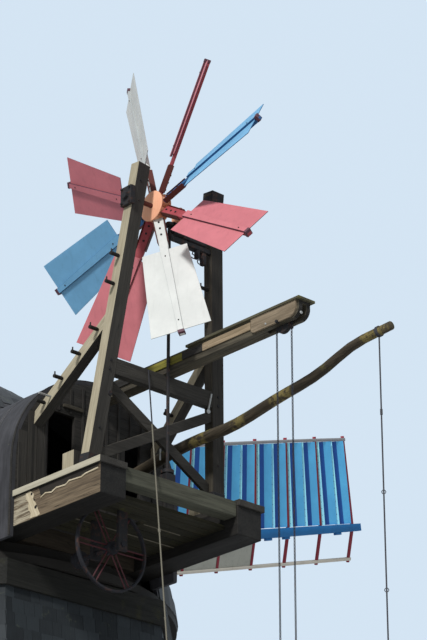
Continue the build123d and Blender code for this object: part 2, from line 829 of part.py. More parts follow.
def striking_chain():
    """The endless chain: two straight runs closed round the wheel and below."""
    z = chain_wheel_z()
    r = CHAIN_WHEEL_RADIUS
    y0, y1 = CHAIN_WHEEL_Y - r, CHAIN_WHEEL_Y + r
    up = Line((STRIKE_X, y0, CHAIN_LOW), (STRIKE_X, y0, z))
    over = ThreePointArc((STRIKE_X, y0, z), (STRIKE_X, CHAIN_WHEEL_Y, z + r), (STRIKE_X, y1, z))
    down = Line((STRIKE_X, y1, z), (STRIKE_X, y1, CHAIN_LOW))
    under = ThreePointArc(
        (STRIKE_X, y1, CHAIN_LOW), (STRIKE_X, CHAIN_WHEEL_Y, CHAIN_LOW - r),
        (STRIKE_X, y0, CHAIN_LOW),
    )
    path = Wire([up, over, down, under])
    section = Plane(origin=(STRIKE_X, y0, CHAIN_LOW), z_dir=(0, 0, 1)) * Circle(CHAIN_RADIUS)
    return sweep(section, path)


# Middle line of the brake lever as it grew: Y, Z and radius at each station
LEVER_LINE = [
    (-2150, BEAM_TOP + 590, 66),
    (-2900, BEAM_TOP + 670, 66),
    (-3905, BEAM_TOP + 760, 66),
    (-4300, BEAM_TOP + 758, 66),
    (-5093, BEAM_TOP + 871, 63),
    (-5721, BEAM_TOP + 970, 58),
    (-6154, BEAM_TOP + 1105, 54),
    (-6544, BEAM_TOP + 1142, 50),
    (-6700, BEAM_TOP + 1152, 46),
]
LEVER_STEPS = 24


def brake_lever():
    """The naturally bent pole, with the hole for its pivot pin."""
    points = [(LEVER_X, y, z) for y, z, r in LEVER_LINE]
    path = Spline(points)
    root, tip = LEVER_LINE[0][2], LEVER_LINE[-1][2]
    sections = []
    for step in range(LEVER_STEPS + 1):
        share = step / LEVER_STEPS
        radius = root + (tip - root) * share**2
        plane = Plane(origin=path @ share, x_dir=(1, 0, 0), z_dir=path % share)
        sections.append(plane * Circle(radius))
    pole = loft(sections, ruled=True)
    pin = Pos(LEVER_X, LEVER_PIVOT_Y, LEVER_PIVOT_Z) * Rot(0, 90, 0)
    return pole - pin * Cylinder(LEVER_PIN + 1, 400)


def lever_stand():
    """Two cheeks on a cross beam that hold the lever's pin."""
    found = block(
        LEVER_X - 130, LEVER_X + 130, LEVER_PIVOT_Y - 90, LEVER_PIVOT_Y + 90,
        BEAM_TOP, BEAM_TOP + 750,
    )
    gap = block(
        LEVER_X - 72, LEVER_X + 72, LEVER_PIVOT_Y - 100, LEVER_PIVOT_Y + 100,
        BEAM_TOP + 370, BEAM_TOP + 790,
    )
    pin = Pos(LEVER_X, LEVER_PIVOT_Y, LEVER_PIVOT_Z) * Rot(0, 90, 0)
    return found - gap + pin * Cylinder(LEVER_PIN, 260)


def brake_rope():
    """The rope that hangs from the lever's end."""
    rope = rod((LEVER_X, ROPE_Y, ROPE_LOW), (LEVER_X, ROPE_Y, BEAM_TOP + 1140), ROPE_RADIUS)
    return (rope - brake_lever()).solids().sort_by(Axis.Z)[0]


def guide_rope():
    """The taut rope from the rail, which ends below the stage."""
    return rod((-610, -4616, 8850), (-250, -3869, BEAM_TOP + 1340), ROPE_RADIUS)


def shaft_frame(solid):
    """Puts a piece drawn in the plane of the sails in its place."""
    return SHAFT_PLANE * solid


def windshaft():
    """The windshaft with its cast poll end, which holds the two stocks."""
    body = Pos(0, 0, (POLL_LENGTH / 2 + SHAFT_TAIL) / 2) * Cylinder(
        SHAFT_RADIUS, SHAFT_TAIL - POLL_LENGTH / 2
    )
    poll = Box(2 * POLL_HALF, 2 * POLL_HALF, POLL_LENGTH)
    body = body + Rot(0, 0, SAIL_START) * poll
    for k in (0, 1):
        body -= stock_form(k)
    return shaft_frame(body)


def stock_form(k):
    """A stock as drawn, tapered from the shaft to both tips."""
    sections = []
    for x, width, depth in (
        (-SAIL_LENGTH, STOCK_TIP, STOCK_TIP_DEPTH),
        (-POLL_HALF - 60, STOCK_ROOT, STOCK_ROOT_DEPTH),
        (POLL_HALF + 60, STOCK_ROOT, STOCK_ROOT_DEPTH),
        (SAIL_LENGTH, STOCK_TIP, STOCK_TIP_DEPTH),
    ):
        plane = Plane(origin=(x, 0, 0), x_dir=(0, 1, 0), z_dir=(1, 0, 0))
        sections.append(plane * Rectangle(width, depth))
    solid = loft(sections, ruled=True)
    z = -STOCK_OFFSET if k == 0 else STOCK_OFFSET
    return Rot(0, 0, SAIL_START + 90 * k) * Pos(0, 0, z) * solid


def bar_radii():
    """Distances of the sail bars from the shaft."""
    pitch = (SAIL_LENGTH - SAIL_TIP_MARGIN - SAIL_HEEL) / SAIL_BAYS
    return [SAIL_HEEL + pitch * k for k in range(SAIL_BAYS + 1)]


def weather(radius):
    """The trailing side's twist in degrees at a distance from the shaft."""
    reach = SAIL_LENGTH - SAIL_TIP_MARGIN - SAIL_HEEL
    share = (radius - SAIL_HEEL) / reach
    return WEATHER_HEEL * (1 - share**2)


def sail_place(k):
    """Frame of sail k: x outwards along it, y to its trailing side, z to the rear."""
    z = -STOCK_OFFSET if k % 2 == 0 else STOCK_OFFSET
    return Rot(0, 0, SAIL_START + 90 * k) * Pos(0, 0, z)


def at_radius(radius):
    """Frame of a bar's trailing part: y along it, tilted by the weather."""
    return Pos(radius, 0, 0) * Rot(weather(radius), 0, 0)


def lead_at(radius):
    """Frame of a bar's leading part, which has one tilt all along the sail."""
    return Pos(radius, 0, 0) * Rot(LEAD_ANGLE, 0, 0)


def sail_bars():
    """The bars of one sail in its own frame, each bent at the stock."""
    bars = []
    for r in bar_radii():
        trail = TRAIL_WIDTH + BAR_END
        lead = LEAD_WIDTH + BAR_END
        bar = at_radius(r) * Pos(0, trail / 2, 0) * Box(BAR_WIDTH, trail, BAR_THICK)
        bar += lead_at(r) * Pos(0, -lead / 2, 0) * Box(BAR_WIDTH, lead, BAR_THICK)
        middle = Rot(0, 90, 0) * Cylinder(BAR_THICK / 2, BAR_WIDTH)
        bars.append(bar + Pos(r, 0, 0) * middle)
    return bars


def lath(across, place, width, thick):
    """A long lath that follows the bars, from the first to the last."""
    sections = []
    radii = bar_radii()
    for r in [radii[0] - 40] + radii[1:-1] + [radii[-1] + 40]:
        plane = Plane(origin=(0, 0, 0), x_dir=(0, 1, 0), z_dir=(1, 0, 0))
        flat = plane * Pos(across, 0) * Rectangle(width, thick)
        sections.append(place(r) * flat)
    return loft(sections, ruled=True)


def sail_frame():
    """Bars with the outer and leading laths of one sail."""
    frame = lath(TRAIL_WIDTH, at_radius, LATH, BAR_THICK + 16)
    frame += lath(-LEAD_WIDTH, lead_at, LATH, BAR_THICK + 16)
    for bar in sail_bars():
        frame += bar
    return frame


def shutter(width, length):
    """One shutter about its middle, with a sloped batten on the edge nearer the shaft."""
    board = Box(width, length, SHUTTER_THICK)
    foot, top = -width / 2, SHUTTER_THICK / 2
    crest = (foot + SHUTTER_BATTEN, top + SHUTTER_BATTEN)
    side = Polygon((foot, 0), (foot, top), crest, (foot + SHUTTER_BATTEN, 0), align=None)
    return board + extrude(Plane.XZ * side, length / 2, both=True)


def shutter_start(radius):
    """Where a shutter begins, so that its twisted batten clears the stock."""
    twist = radians(weather(radius))
    rise = SHUTTER_THICK + SHUTTER_BATTEN
    return (stock_half(radius) + 6 + rise * sin(twist)) / cos(twist)


def stock_half(radius):
    """Half the stock's width at a distance from the shaft."""
    root = POLL_HALF + 60
    share = (radius - root) / (SAIL_LENGTH - root)
    return (STOCK_ROOT + (STOCK_TIP - STOCK_ROOT) * share) / 2


def shutters():
    """The shutters of one sail, two in each bay."""
    found = []
    radii = bar_radii()
    pitch = radii[1] - radii[0]
    width = (pitch - BAR_WIDTH - 3 * SHUTTER_GAP) / 2
    rim = TRAIL_WIDTH - LATH / 2 - PIVOT_GAP
    for r in radii[:-1]:
        for part in (0, 1):
            x = r + BAR_WIDTH / 2 + SHUTTER_GAP + width / 2 + part * (width + SHUTTER_GAP)
            start, end = shutter_start(x), rim - 4
            board = Rot(0, -SHUTTER_OPEN, 0) * shutter(width, end - start)
            pivot = Rot(90, 0, 0) * Cylinder(PIVOT_RADIUS, 24)
            board = Pos(0, (start + end) / 2, 0) * board + Pos(0, rim - 12, 0) * pivot
            found.append(at_radius(x) * board)
    return found


def lead_boards():
    """The boards on the leading side of one sail, bay by bay."""
    found = []
    radii = bar_radii()
    width = LEAD_WIDTH - LATH / 2 - STOCK_ROOT / 2 - 20
    centre = -LEAD_WIDTH + LATH / 2 + 4 + width / 2
    for r0, r1 in zip(radii[:-1], radii[1:]):
        if r1 > LEAD_BOARD_END + 200:
            break
        x = (r0 + r1) / 2
        long = r1 - r0 - BAR_WIDTH - 2 * SEAT
        found.append(lead_at(x) * Pos(0, centre, 0) * Box(long, width, 14))
    return found


def door_leaf():
    """The entrance door, hung on its left side, with strap hinges and a ring."""
    half = DOORWAY_WIDTH / 2 - DOOR_FRAME - DOOR_GAP
    face = -BASE_HALF + DOOR_SET_BACK
    low, high = GROUND_FLOOR + 12, DOORWAY_TOP - DOOR_FRAME - DOOR_GAP
    leaf = block(-half, half, face, face + DOOR_THICK, low, high)
    for z in (low + 260, high - 260):
        leaf += block(-half, half - 260, face - 8, face, z - 32, z + 32)
        leaf += Pos(-half + HINGE_IN, face - 6, z) * Cylinder(HINGE_PIN, 90)
    grip = rod((half - 110, face - 60, HANDLE_HEIGHT), (half - 110, face, HANDLE_HEIGHT), 12)
    grip += rod(
        (half - 110, face - 60, HANDLE_HEIGHT - 70), (half - 110, face - 60, HANDLE_HEIGHT + 70), 12
    )
    return leaf + grip


def door_frame():
    """Jambs and head of the doorway."""
    half = DOORWAY_WIDTH / 2
    y0 = -BASE_HALF + DOOR_SET_BACK - 10
    y1 = y0 + 110
    jambs = block(-half, half, y0, y1, GROUND_FLOOR, DOORWAY_TOP)
    clear = half - DOOR_FRAME
    return jambs - block(-clear, clear, y0, y1, GROUND_FLOOR, DOORWAY_TOP - DOOR_FRAME)


def window_frames():
    """All the window frames."""
    found = []
    for angle, sill, width, height, sloped in WINDOWS:
        found.append(wall_place(angle, sill, sloped) * window_frame(width, height))
    return found


def window_panes():
    """All the window panes."""
    found = []
    for angle, sill, width, height, sloped in WINDOWS:
        found.append(wall_place(angle, sill, sloped) * window_pane(width, height))
    return found


def collect():
    """Every node by name."""
    nodes = {}
    nodes["base_wall_left"], nodes["base_wall_right"], nodes["base_wall_over_door"] = base_walls()
    nodes["smock_wall_left"], nodes["smock_wall_right"] = smock_walls()
    nodes["floor_ground"], *upper = floors()
    nodes["upper_floors"] = upper
    nodes["door_frame"] = door_frame()
    nodes["door_leaf"] = door_leaf()
    nodes["window_frames"] = window_frames()
    nodes["window_panes"] = window_panes()
    nodes["curb"] = curb()
    nodes["cap_ring"] = cap_ring()
    for side, name in ((-1, "left"), (1, "right")):
        nodes["long_beam_" + name] = long_beam(side)
        nodes["fan_post_" + name] = post(side)
    nodes["copings"] = [coping(-1), coping(1)]
    nodes["fan_struts"] = [strut(-1), strut(1)]
    nodes["post_heels"] = [heel(-1), heel(1)]
    nodes["end_beam"] = end_beam()
    nodes["stage_deck"] = deck()
    nodes["cap_cross_beams"] = cap_cross_beams()
    nodes["shaft_bearings"] = [neck_bearing(), tail_bearing()]
    nodes["dome_roof"] = dome_roof()
    nodes["barrel_roof_rear"] = barrel_roof(GABLE_REAR, -300)
    nodes["barrel_roof_front"] = barrel_roof(300, GABLE_FRONT)
    nodes["gable_rear"] = rear_gable()
    nodes["gable_front"] = front_gable()
    nodes["fan_rail"] = rail()
    nodes["fan_braces"] = brace(-1, -BRACE_DEPTH / 2) + brace(1, BRACE_DEPTH / 2)
    nodes["climbing_pegs"] = pegs()
    nodes["fan_bearings"] = bearings()
    nodes["fan_hub"] = fan_hub()
    nodes["fan_arms"] = fan_arms()
    nodes["fan_blades_red"] = fan_blades((0, 2, 4, 6))
    nodes["fan_blades_white"] = fan_blades((3, 7))
    nodes["fan_blades_blue"] = fan_blades((1, 5))
    nodes["drive_shaft"] = drive_shaft()
    nodes["drive_bearing"] = drive_bearing()
    nodes["drive_head"] = drive_head()
    nodes["hand_wheel"] = hand_wheel()
    nodes["wheel_hangers"] = wheel_hangers()
    nodes["striking_beam"] = striking_beam()
    nodes["chain_wheel"] = chain_wheel()
    nodes["striking_chain"] = striking_chain()
    nodes["brake_lever"] = brake_lever()
    nodes["lever_stand"] = lever_stand()
    nodes["brake_rope"] = brake_rope()
    nodes["guide_rope"] = guide_rope()
    nodes["windshaft"] = windshaft()
    for k, name in ((0, "a"), (1, "b")):
        stock = stock_form(k)
        for arm in (k, k + 2):
            for bar in sail_bars():
                stock -= sail_place(arm) * bar
        nodes["stock_" + name] = shaft_frame(stock)
    nodes["shutters"] = []
    nodes["lead_boards"] = []
    for k in range(4):
        place = sail_place(k)
        nodes["sail_frame_" + str(k + 1)] = shaft_frame(place * sail_frame())
        nodes["shutters"] += [shaft_frame(place * s) for s in shutters()]
        nodes["lead_boards"] += [shaft_frame(place * s) for s in lead_boards()]
    return nodes


def main():
    os.makedirs("parts", exist_ok=True)
    for name, shape in collect().items():
        if isinstance(shape, list):
            solids = [s for piece in shape for s in piece.solids()]
            shape = Compound(children=solids)
        export_step(shape, "parts/" + name + ".step")
        print(name, len(shape.solids()), round(shape.volume / 1e6))


main()
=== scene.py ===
# %% [markdown]
# # A smock windmill, dressed
# The construction model gives every timber, sheet and shaft its true place. This file gives
# them their looks: worn edges, grain, paint, shingles, bricks, chain links and bolts. It reads
# as a lesson, so each step says what the real thing is and why it is made this way.

# %% Start
import json
import math
import random

import bmesh
import bpy
import numpy as np
from mathutils import Matrix, Vector

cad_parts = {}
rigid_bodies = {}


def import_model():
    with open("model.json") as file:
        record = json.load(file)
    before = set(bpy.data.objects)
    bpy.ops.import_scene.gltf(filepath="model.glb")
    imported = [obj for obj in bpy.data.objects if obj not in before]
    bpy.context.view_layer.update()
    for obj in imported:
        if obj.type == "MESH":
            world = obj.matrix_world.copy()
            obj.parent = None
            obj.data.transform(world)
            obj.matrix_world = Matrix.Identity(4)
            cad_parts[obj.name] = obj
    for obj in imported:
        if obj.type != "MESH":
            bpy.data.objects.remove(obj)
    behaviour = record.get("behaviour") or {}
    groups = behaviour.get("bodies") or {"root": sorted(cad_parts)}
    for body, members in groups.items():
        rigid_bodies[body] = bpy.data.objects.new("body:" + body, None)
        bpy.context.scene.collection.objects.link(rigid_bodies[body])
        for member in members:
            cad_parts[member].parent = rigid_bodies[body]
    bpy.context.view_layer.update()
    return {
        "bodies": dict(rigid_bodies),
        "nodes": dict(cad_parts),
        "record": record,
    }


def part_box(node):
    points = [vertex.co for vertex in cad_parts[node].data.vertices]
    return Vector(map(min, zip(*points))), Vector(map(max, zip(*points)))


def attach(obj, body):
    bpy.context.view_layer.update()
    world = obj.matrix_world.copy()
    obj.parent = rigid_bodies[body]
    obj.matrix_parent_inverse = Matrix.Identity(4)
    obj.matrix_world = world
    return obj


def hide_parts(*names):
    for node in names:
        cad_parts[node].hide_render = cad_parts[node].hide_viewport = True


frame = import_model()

scene = bpy.context.scene
NODES = frame["nodes"]
print("nodes in the frame:", len(NODES))

# %% [markdown]
# ## Camera
# The view comes first, because everything is judged through it. The camera stands on the
# ground behind the mill, at a standing person's eye height, with a long lens that looks up
# at the cap. A long lens keeps upright lines nearly parallel, as on the picture.

# %% Camera
CAMERA_PLACE = (-16.174, -22.299, 1.715)
CAMERA_UP = 24.357
CAMERA_TURN = -42.45
CAMERA_LENS = 140.6

camera_data = bpy.data.cameras.new("camera")
camera_data.lens = CAMERA_LENS
camera_data.sensor_width = 36
camera_data.clip_end = 600
camera = bpy.data.objects.new("camera", camera_data)
camera.location = CAMERA_PLACE
camera.rotation_euler = (math.radians(90 + CAMERA_UP), 0, math.radians(CAMERA_TURN))
scene.collection.objects.link(camera)
scene.camera = camera
scene.view_settings.view_transform = "Standard"
print("camera at", CAMERA_PLACE)

# %% [markdown]
# ## Light
# One broad sun-like lamp stands to the left and high up, because the left sides of the timbers
# are the bright ones. The world fills the shadows. A backdrop isn't needed: the world shows the
# camera, shiny faces and glass a pale sky, and lights the rest with a nearly white tone.

# %% Light
KEY_FROM = Vector((-0.72, -0.3, 0.62))
KEY_STRENGTH = 3.0
FILL_STRENGTH = 0.36

key_data = bpy.data.lights.new("key", "SUN")
key_data.energy = KEY_STRENGTH
key_data.angle = math.radians(9)
key = bpy.data.objects.new("key", key_data)
key.rotation_mode = "QUATERNION"
key.rotation_quaternion = KEY_FROM.to_track_quat("Z", "Y")
scene.collection.objects.link(key)

world = bpy.data.worlds.new("pale_sky")
scene.world = world
world.use_nodes = True
sky = world.node_tree
sky.nodes.clear()
rays = sky.nodes.new("ShaderNodeLightPath")
seen = sky.nodes.new("ShaderNodeBackground")
seen.inputs["Color"].default_value = (0.66, 0.78, 0.9, 1)
fill = sky.nodes.new("ShaderNodeBackground")
fill.inputs["Color"].default_value = (0.94, 0.97, 1, 1)
fill.inputs["Strength"].default_value = FILL_STRENGTH
choose = sky.nodes.new("ShaderNodeMixShader")
world_out = sky.nodes.new("ShaderNodeOutputWorld")
sees_sky = rays.outputs["Is Camera Ray"]
for other_ray in ("Is Glossy Ray", "Is Transmission Ray"):
    either = sky.nodes.new("ShaderNodeMath")
    either.operation = "MAXIMUM"
    sky.links.new(sees_sky, either.inputs[0])
    sky.links.new(rays.outputs[other_ray], either.inputs[1])
    sees_sky = either.outputs[0]
sky.links.new(sees_sky, choose.inputs[0])
sky.links.new(fill.outputs[0], choose.inputs[1])
sky.links.new(seen.outputs[0], choose.inputs[2])
sky.links.new(choose.outputs[0], world_out.inputs["Surface"])
print("key lamp", KEY_STRENGTH, "fill", FILL_STRENGTH)

# %% [markdown]
# ## Sums in a material
# A material's nodes are easier to read as sums. This small class wraps one socket, so that
# `1 - dirt * 0.5` adds the Math nodes by itself. Every other node comes from one method that
# takes the node's type, its settings, and what goes into its sockets.


# %% Sums in a material
class Value:
    """One output of a shader node. Sums with it add Math nodes."""

    def __init__(self, finish, socket):
        self.finish = finish
        self.socket = socket

    def maths(self, operation, first, second):
        """A Math node on two values or numbers."""
        return self.finish.node("Math", {"operation": operation}, {0: first, 1: second})

    def __add__(self, other):
        return self.maths("ADD", self, other)

    def __sub__(self, other):
        return self.maths("SUBTRACT", self, other)

    def __mul__(self, other):
        return self.maths("MULTIPLY", self, other)

    def __rsub__(self, other):
        return self.maths("SUBTRACT", other, self)

    __radd__ = __add__
    __rmul__ = __mul__


class Finish:
    """A material in the making."""

    def __init__(self, name, metallic=0.0, specular=0.4):
        self.material = bpy.data.materials.new(name)
        self.material.use_nodes = True
        self.tree = self.material.node_tree
        self.shader = self.tree.nodes["Principled BSDF"]
        self.shader.inputs["Metallic"].default_value = metallic
        self.shader.inputs["Specular IOR Level"].default_value = specular

    def put(self, socket, value):
        """Links a value to a socket, or sets the socket to a number or a colour."""
        if isinstance(value, Value):
            self.tree.links.new(value.socket, socket)
        elif socket.type == "RGBA" and len(value) == 3:
            socket.default_value = (*value, 1)
        else:
            socket.default_value = value

    def node(self, kind, settings=None, inputs=None, output=0):
        """One output of a new node: its settings are made first, then its sockets."""
        made = self.tree.nodes.new("ShaderNode" + kind)
        for name, value in (settings or {}).items():
            setattr(made, name, value)
        for name, value in (inputs or {}).items():
            self.put(made.inputs[name], value)
        return Value(self, made.outputs[output])

    def places(self):
        """Object coordinates, in metres."""
        return self.node("TexCoord", output="Object")

    def carried(self, name):
        """A vector that the piece carries on its points."""
        return self.node("Attribute", {"attribute_name": name}, output="Vector")

    def shade(self, name):
        """A number that the piece carries on its points."""
        return self.node("Attribute", {"attribute_name": name}, output="Fac")

    def axis(self, where, number):
        """One coordinate of a vector: 0 for x, 1 for y, 2 for z."""
        return self.node("SeparateXYZ", None, {0: where}, number)

    def stretch(self, where, scale):
        """A vector with each of its coordinates scaled."""
        return self.node("VectorMath", {"operation": "MULTIPLY"}, {0: where, 1: scale})

    def noise(self, where, scale=1.0, detail=4.0, rough=0.55):
        """Clouds of values round 0.5."""
        sockets = {"Vector": where, "Scale": scale, "Detail": detail, "Roughness": rough}
        return self.node("TexNoise", None, sockets)

    def ramp(self, value, low, high):
        """0 below low, 1 above high, and smooth between them."""
        settings = {"interpolation_type": "SMOOTHSTEP"}
        return self.node("MapRange", settings, {"Value": value, "From Min": low, "From Max": high})

    def mix(self, share, first, second):
        """The first colour where share is 0, the second where it is 1."""
        return self.node("Mix", {"data_type": "RGBA"}, {0: share, 6: first, 7: second}, 2)

    def upward(self):
        """1 on faces that look up, 0 on the others."""
        normal = self.node("TexCoord", output="Normal")
        return self.ramp(self.axis(normal, 2), 0.3, 0.9)

    def bump(self, height, strength, depth):
        """Makes the surface look raised where height is large."""
        sockets = {"Strength": strength, "Distance": depth, "Height": height}
        self.put(self.shader.inputs["Normal"], self.node("Bump", None, sockets, "Normal"))

    def done(self, colour, roughness):
        """The finished material."""
        self.put(self.shader.inputs["Base Color"], colour)
        self.put(self.shader.inputs["Roughness"], roughness)
        return self.material


print("material tools ready")

# %% [markdown]
# ## Finishes
# Wood is the main one. Its grain runs along each timber, whichever way that leans, so a piece
# carries a vector called `grain`, measured along, across and through it. Noise that is
# stretched along the first of these gives the streaks, and narrow bands of it give cracks.


# %% Wood finishes
def wood(name, light, dark, crack=0.6, moss=0.0, grained=True, spots=(), pale_from=None):
    """Weathered wood: streaks and cracks along its grain, with moss or bare wood in places."""
    f = Finish(name, specular=0.25)
    g = f.carried("grain") if grained else f.places()
    broad = f.noise(f.stretch(g, (0.9, 7, 7)), 1.0, 5, 0.6)
    streak = f.noise(f.stretch(g, (3, 60, 60)), 1.0, 6, 0.65)
    fibre = f.noise(f.stretch(g, (12, 260, 260)), 1.0, 3, 0.6)
    split = f.noise(f.stretch(g, (0.7, 17, 17)), 1.0, 2, 0.4)
    line = 1 - f.ramp(f.node("Math", {"operation": "ABSOLUTE"}, {0: split - 0.5}), 0.0, 0.022)
    line = line * f.ramp(broad, 0.42, 0.62)
    tone = f.ramp(broad * 0.5 + streak * 0.5, 0.36, 0.66)
    colour = f.mix(tone, dark, light)
    colour = f.mix(f.ramp(fibre, 0.55, 0.8) * 0.25, colour, tuple(c * 0.55 for c in dark))
    colour = f.mix(line * crack, colour, tuple(c * 0.12 for c in dark))
    if moss:
        patch = f.ramp(f.noise(f.places(), 2.4, 8, 0.7) + f.upward() * 0.16, 0.56, 0.7)
        speck = f.noise(f.places(), 45, 4)
        green = f.mix(speck, (0.07, 0.075, 0.01), (0.36, 0.33, 0.05))
        colour = f.mix(patch * moss, colour, green)
    for y0, y1 in spots:
        y = f.axis(f.places(), 1)
        inside = f.ramp(y, y0, y0 + 0.06) - f.ramp(y, y1 - 0.06, y1)
        tuft = f.ramp(f.noise(f.places(), 14, 6, 0.7), 0.43, 0.56)
        dry_moss = f.mix(streak, (0.05, 0.042, 0.012), (0.3, 0.235, 0.085))
        colour = f.mix(inside * tuft, colour, dry_moss)
    if pale_from is not None:
        y = f.axis(f.places(), 1)
        bare = f.ramp(y, pale_from, pale_from + 0.08) * f.ramp(streak, 0.38, 0.58)
        colour = f.mix(bare * 0.8, colour, (0.46, 0.41, 0.3))
    f.bump(streak * 0.5 + fibre * 0.3 - line * 1.4, 0.55, 0.006)
    return f.done(colour, 0.82 - tone * 0.08)


# Where the left beam's own wood shows, from here to the cap, and the stretches of the lever
# that moss has settled on. Both are measured along y.
BARE_OAK_FROM = -3.08
MOSSY_PLACES = [(-4.0, -3.7), (-4.62, -4.36), (-5.32, -4.96), (-6.72, -6.28)]


POST_WOOD = wood("post_wood", (0.46, 0.41, 0.29), (0.3, 0.26, 0.18), crack=0.3)
DIM_WOOD = wood("dim_wood", (0.085, 0.073, 0.053), (0.042, 0.036, 0.026), crack=0.4)
POST_IN_SHADE = wood("post_painted_shade", (0.042, 0.037, 0.03), (0.022, 0.019, 0.016), crack=0.4)
OLD_OAK = wood("old_oak", (0.2, 0.15, 0.095), (0.07, 0.05, 0.032), 0.95, pale_from=BARE_OAK_FROM)
BROKEN_OAK = wood("broken_oak", (0.68, 0.6, 0.44), (0.4, 0.33, 0.21), crack=0.6)
COPING_BOARD = wood("coping_board", (0.52, 0.48, 0.37), (0.38, 0.35, 0.26), crack=0.25)
END_BOARD = wood("end_board", (0.1, 0.1, 0.072), (0.05, 0.05, 0.036), crack=0.4)
MOSSY_BEAM = wood("mossy_beam", (0.11, 0.095, 0.065), (0.04, 0.034, 0.024), 0.7, 0.3)
SHADE_WOOD = wood("shade_wood", (0.055, 0.05, 0.042), (0.03, 0.027, 0.023), crack=0.3)
# Near-black: painted shade on the long beams' faces away from the lamp, and the peg shanks' own dark
# colour.
SHADED_BLACK_WOOD = wood("shaded_black_wood", (0.02, 0.018, 0.015), (0.009, 0.008, 0.007), crack=0.5)
# Near-black: painted shade inside the rotten left beam's hollow and holes.
HOLLOW_SHADE = wood("hollow_painted_shade", (0.028, 0.022, 0.016), (0.01, 0.008, 0.006), crack=0.5)
MOSS = wood("moss", (0.3, 0.27, 0.045), (0.12, 0.11, 0.02), crack=0.2, moss=0.5)
CHEEK_BOARD = wood("cheek_board", (0.3, 0.235, 0.16), (0.15, 0.115, 0.075), crack=0.5)
SIDE_STRIP = wood("side_strip", (0.42, 0.32, 0.21), (0.2, 0.15, 0.09), crack=0.4)
CAP_EDGE = wood("cap_edge", (0.11, 0.1, 0.06), (0.05, 0.046, 0.028), crack=0.3, moss=0.5)
LEVER_POLE = wood(
    "lever_pole", (0.075, 0.058, 0.036), (0.028, 0.022, 0.014), 0.7, 0.4, spots=MOSSY_PLACES,
)
TARRED = wood("tarred_boards", (0.038, 0.034, 0.029), (0.016, 0.0145, 0.0125), 0.5)
PAINTED_GAP_LIGHT = wood("painted_gap_light", (0.2, 0.18, 0.135), (0.11, 0.095, 0.07), crack=0.5)
DECK_BOARD = wood("deck_board", (0.034, 0.03, 0.015), (0.013, 0.012, 0.006), 0.5, 0.25)
FLOOR_BOARD = wood("floor_board", (0.4, 0.3, 0.2), (0.26, 0.19, 0.12), 0.3, grained=False)
INNER_WOOD = wood("inner_wood", (0.055, 0.042, 0.028), (0.027, 0.021, 0.014), 0.5, grained=False)
CURB_WOOD = wood("curb_wood", (0.018, 0.017, 0.014), (0.008, 0.008, 0.006), 0.5, 0.06, False)
print("wood finishes:", len(bpy.data.materials))


# %% Painted finishes
def painted(name, colour, worn_off, dirt=0.35, rough=0.5, grained=True):
    """Old paint: chalky, streaked by rain, with small bare flecks."""
    f = Finish(name, specular=0.4)
    g = f.carried("grain") if grained else f.places()
    cloud = f.noise(f.places(), 3.2, 6, 0.6)
    rain = f.noise(f.stretch(f.places(), (30, 30, 1.6)), 1.0, 4, 0.55)
    fine = f.noise(f.stretch(g, (8, 110, 110)), 1.0, 4)
    bare = f.ramp(f.noise(f.places(), 38, 5, 0.7) * 0.6 + cloud * 0.4, 0.58, 0.66)
    chalky = tuple(min(0.93, c * 1.15 + 0.004) for c in colour)
    faded = f.mix(f.ramp(cloud, 0.35, 0.7), colour, chalky)
    soiled = f.mix(f.ramp(rain, 0.5, 0.8) * dirt, faded, tuple(c * 0.42 for c in colour))
    finish = f.mix(bare * 0.25, soiled, worn_off)
    f.bump(fine * 0.5 + bare * -0.5 + cloud * 0.3, 0.3, 0.002)
    return f.done(finish, rough + cloud * 0.2)


BLADE_RED = painted("blade_red", (0.52, 0.15, 0.17), (0.56, 0.28, 0.28), 0.2)
BLADE_BLUE = painted("blade_blue", (0.15, 0.37, 0.58), (0.34, 0.46, 0.54), 0.2)
BLADE_WHITE = painted("blade_white", (0.6, 0.61, 0.58), (0.46, 0.44, 0.38), 0.12)
ARM_RED = painted("arm_red", (0.33, 0.05, 0.06), (0.2, 0.08, 0.06), 0.4)
ARM_BLUE = painted("arm_blue", (0.012, 0.08, 0.21), (0.1, 0.2, 0.3), 0.3)
CHANNEL_RED = painted("channel_red", (0.085, 0.013, 0.007), (0.05, 0.012, 0.008), 0.45, 0.6)
# Painted shade on the red blades' edges and spar sides, and on every spar's end clip.
RED_BLADE_SHADE = painted("red_blade_shade", (0.09, 0.03, 0.045), (0.05, 0.03, 0.03), 0.3)
BLADE_SHADE = painted("blade_shade", (0.36, 0.38, 0.38), (0.3, 0.3, 0.28), 0.2)
SALMON = painted("salmon", (0.9, 0.42, 0.25), (0.6, 0.27, 0.16), 0.2)
SAIL_RED = painted("sail_red", (0.25, 0.012, 0.028), (0.15, 0.03, 0.035))
SAIL_WHITE = painted("sail_white", (0.66, 0.61, 0.52), (0.5, 0.44, 0.36), 0.2)
LATH_GREY = painted("lath_grey", (0.28, 0.28, 0.29), (0.2, 0.19, 0.18), 0.2)
SAIL_BLUE = painted("sail_blue", (0.1, 0.47, 0.84), (0.2, 0.52, 0.84), 0.1)
# Painted highlight on the shutters' sloped battens.
SHUTTER_HIGHLIGHT_BLUE = painted("shutter_painted_highlight", (0.3, 0.74, 0.93), (0.4, 0.76, 0.93), 0.05)
# Painted shadow beside the shutters' battens.
SHUTTER_SHADOW_BLUE = painted("shutter_painted_shadow", (0.002, 0.075, 0.34), (0.01, 0.1, 0.36), 0.2)
STOCK_BLUE = painted("stock_blue", (0.006, 0.15, 0.4), (0.015, 0.18, 0.42), 0.25)
LEAD_GREY = painted("lead_grey", (0.42, 0.42, 0.36), (0.3, 0.28, 0.24), 0.4)
FRAME_WHITE = painted("frame_white", (0.76, 0.76, 0.72), (0.42, 0.38, 0.32), grained=False)
DOOR_GREEN = painted("door_green", (0.05, 0.16, 0.1), (0.2, 0.17, 0.12))
WHEEL_RED = painted("wheel_red", (0.05, 0.003, 0.006), (0.04, 0.01, 0.01), 0.5)
print("painted finishes ready")


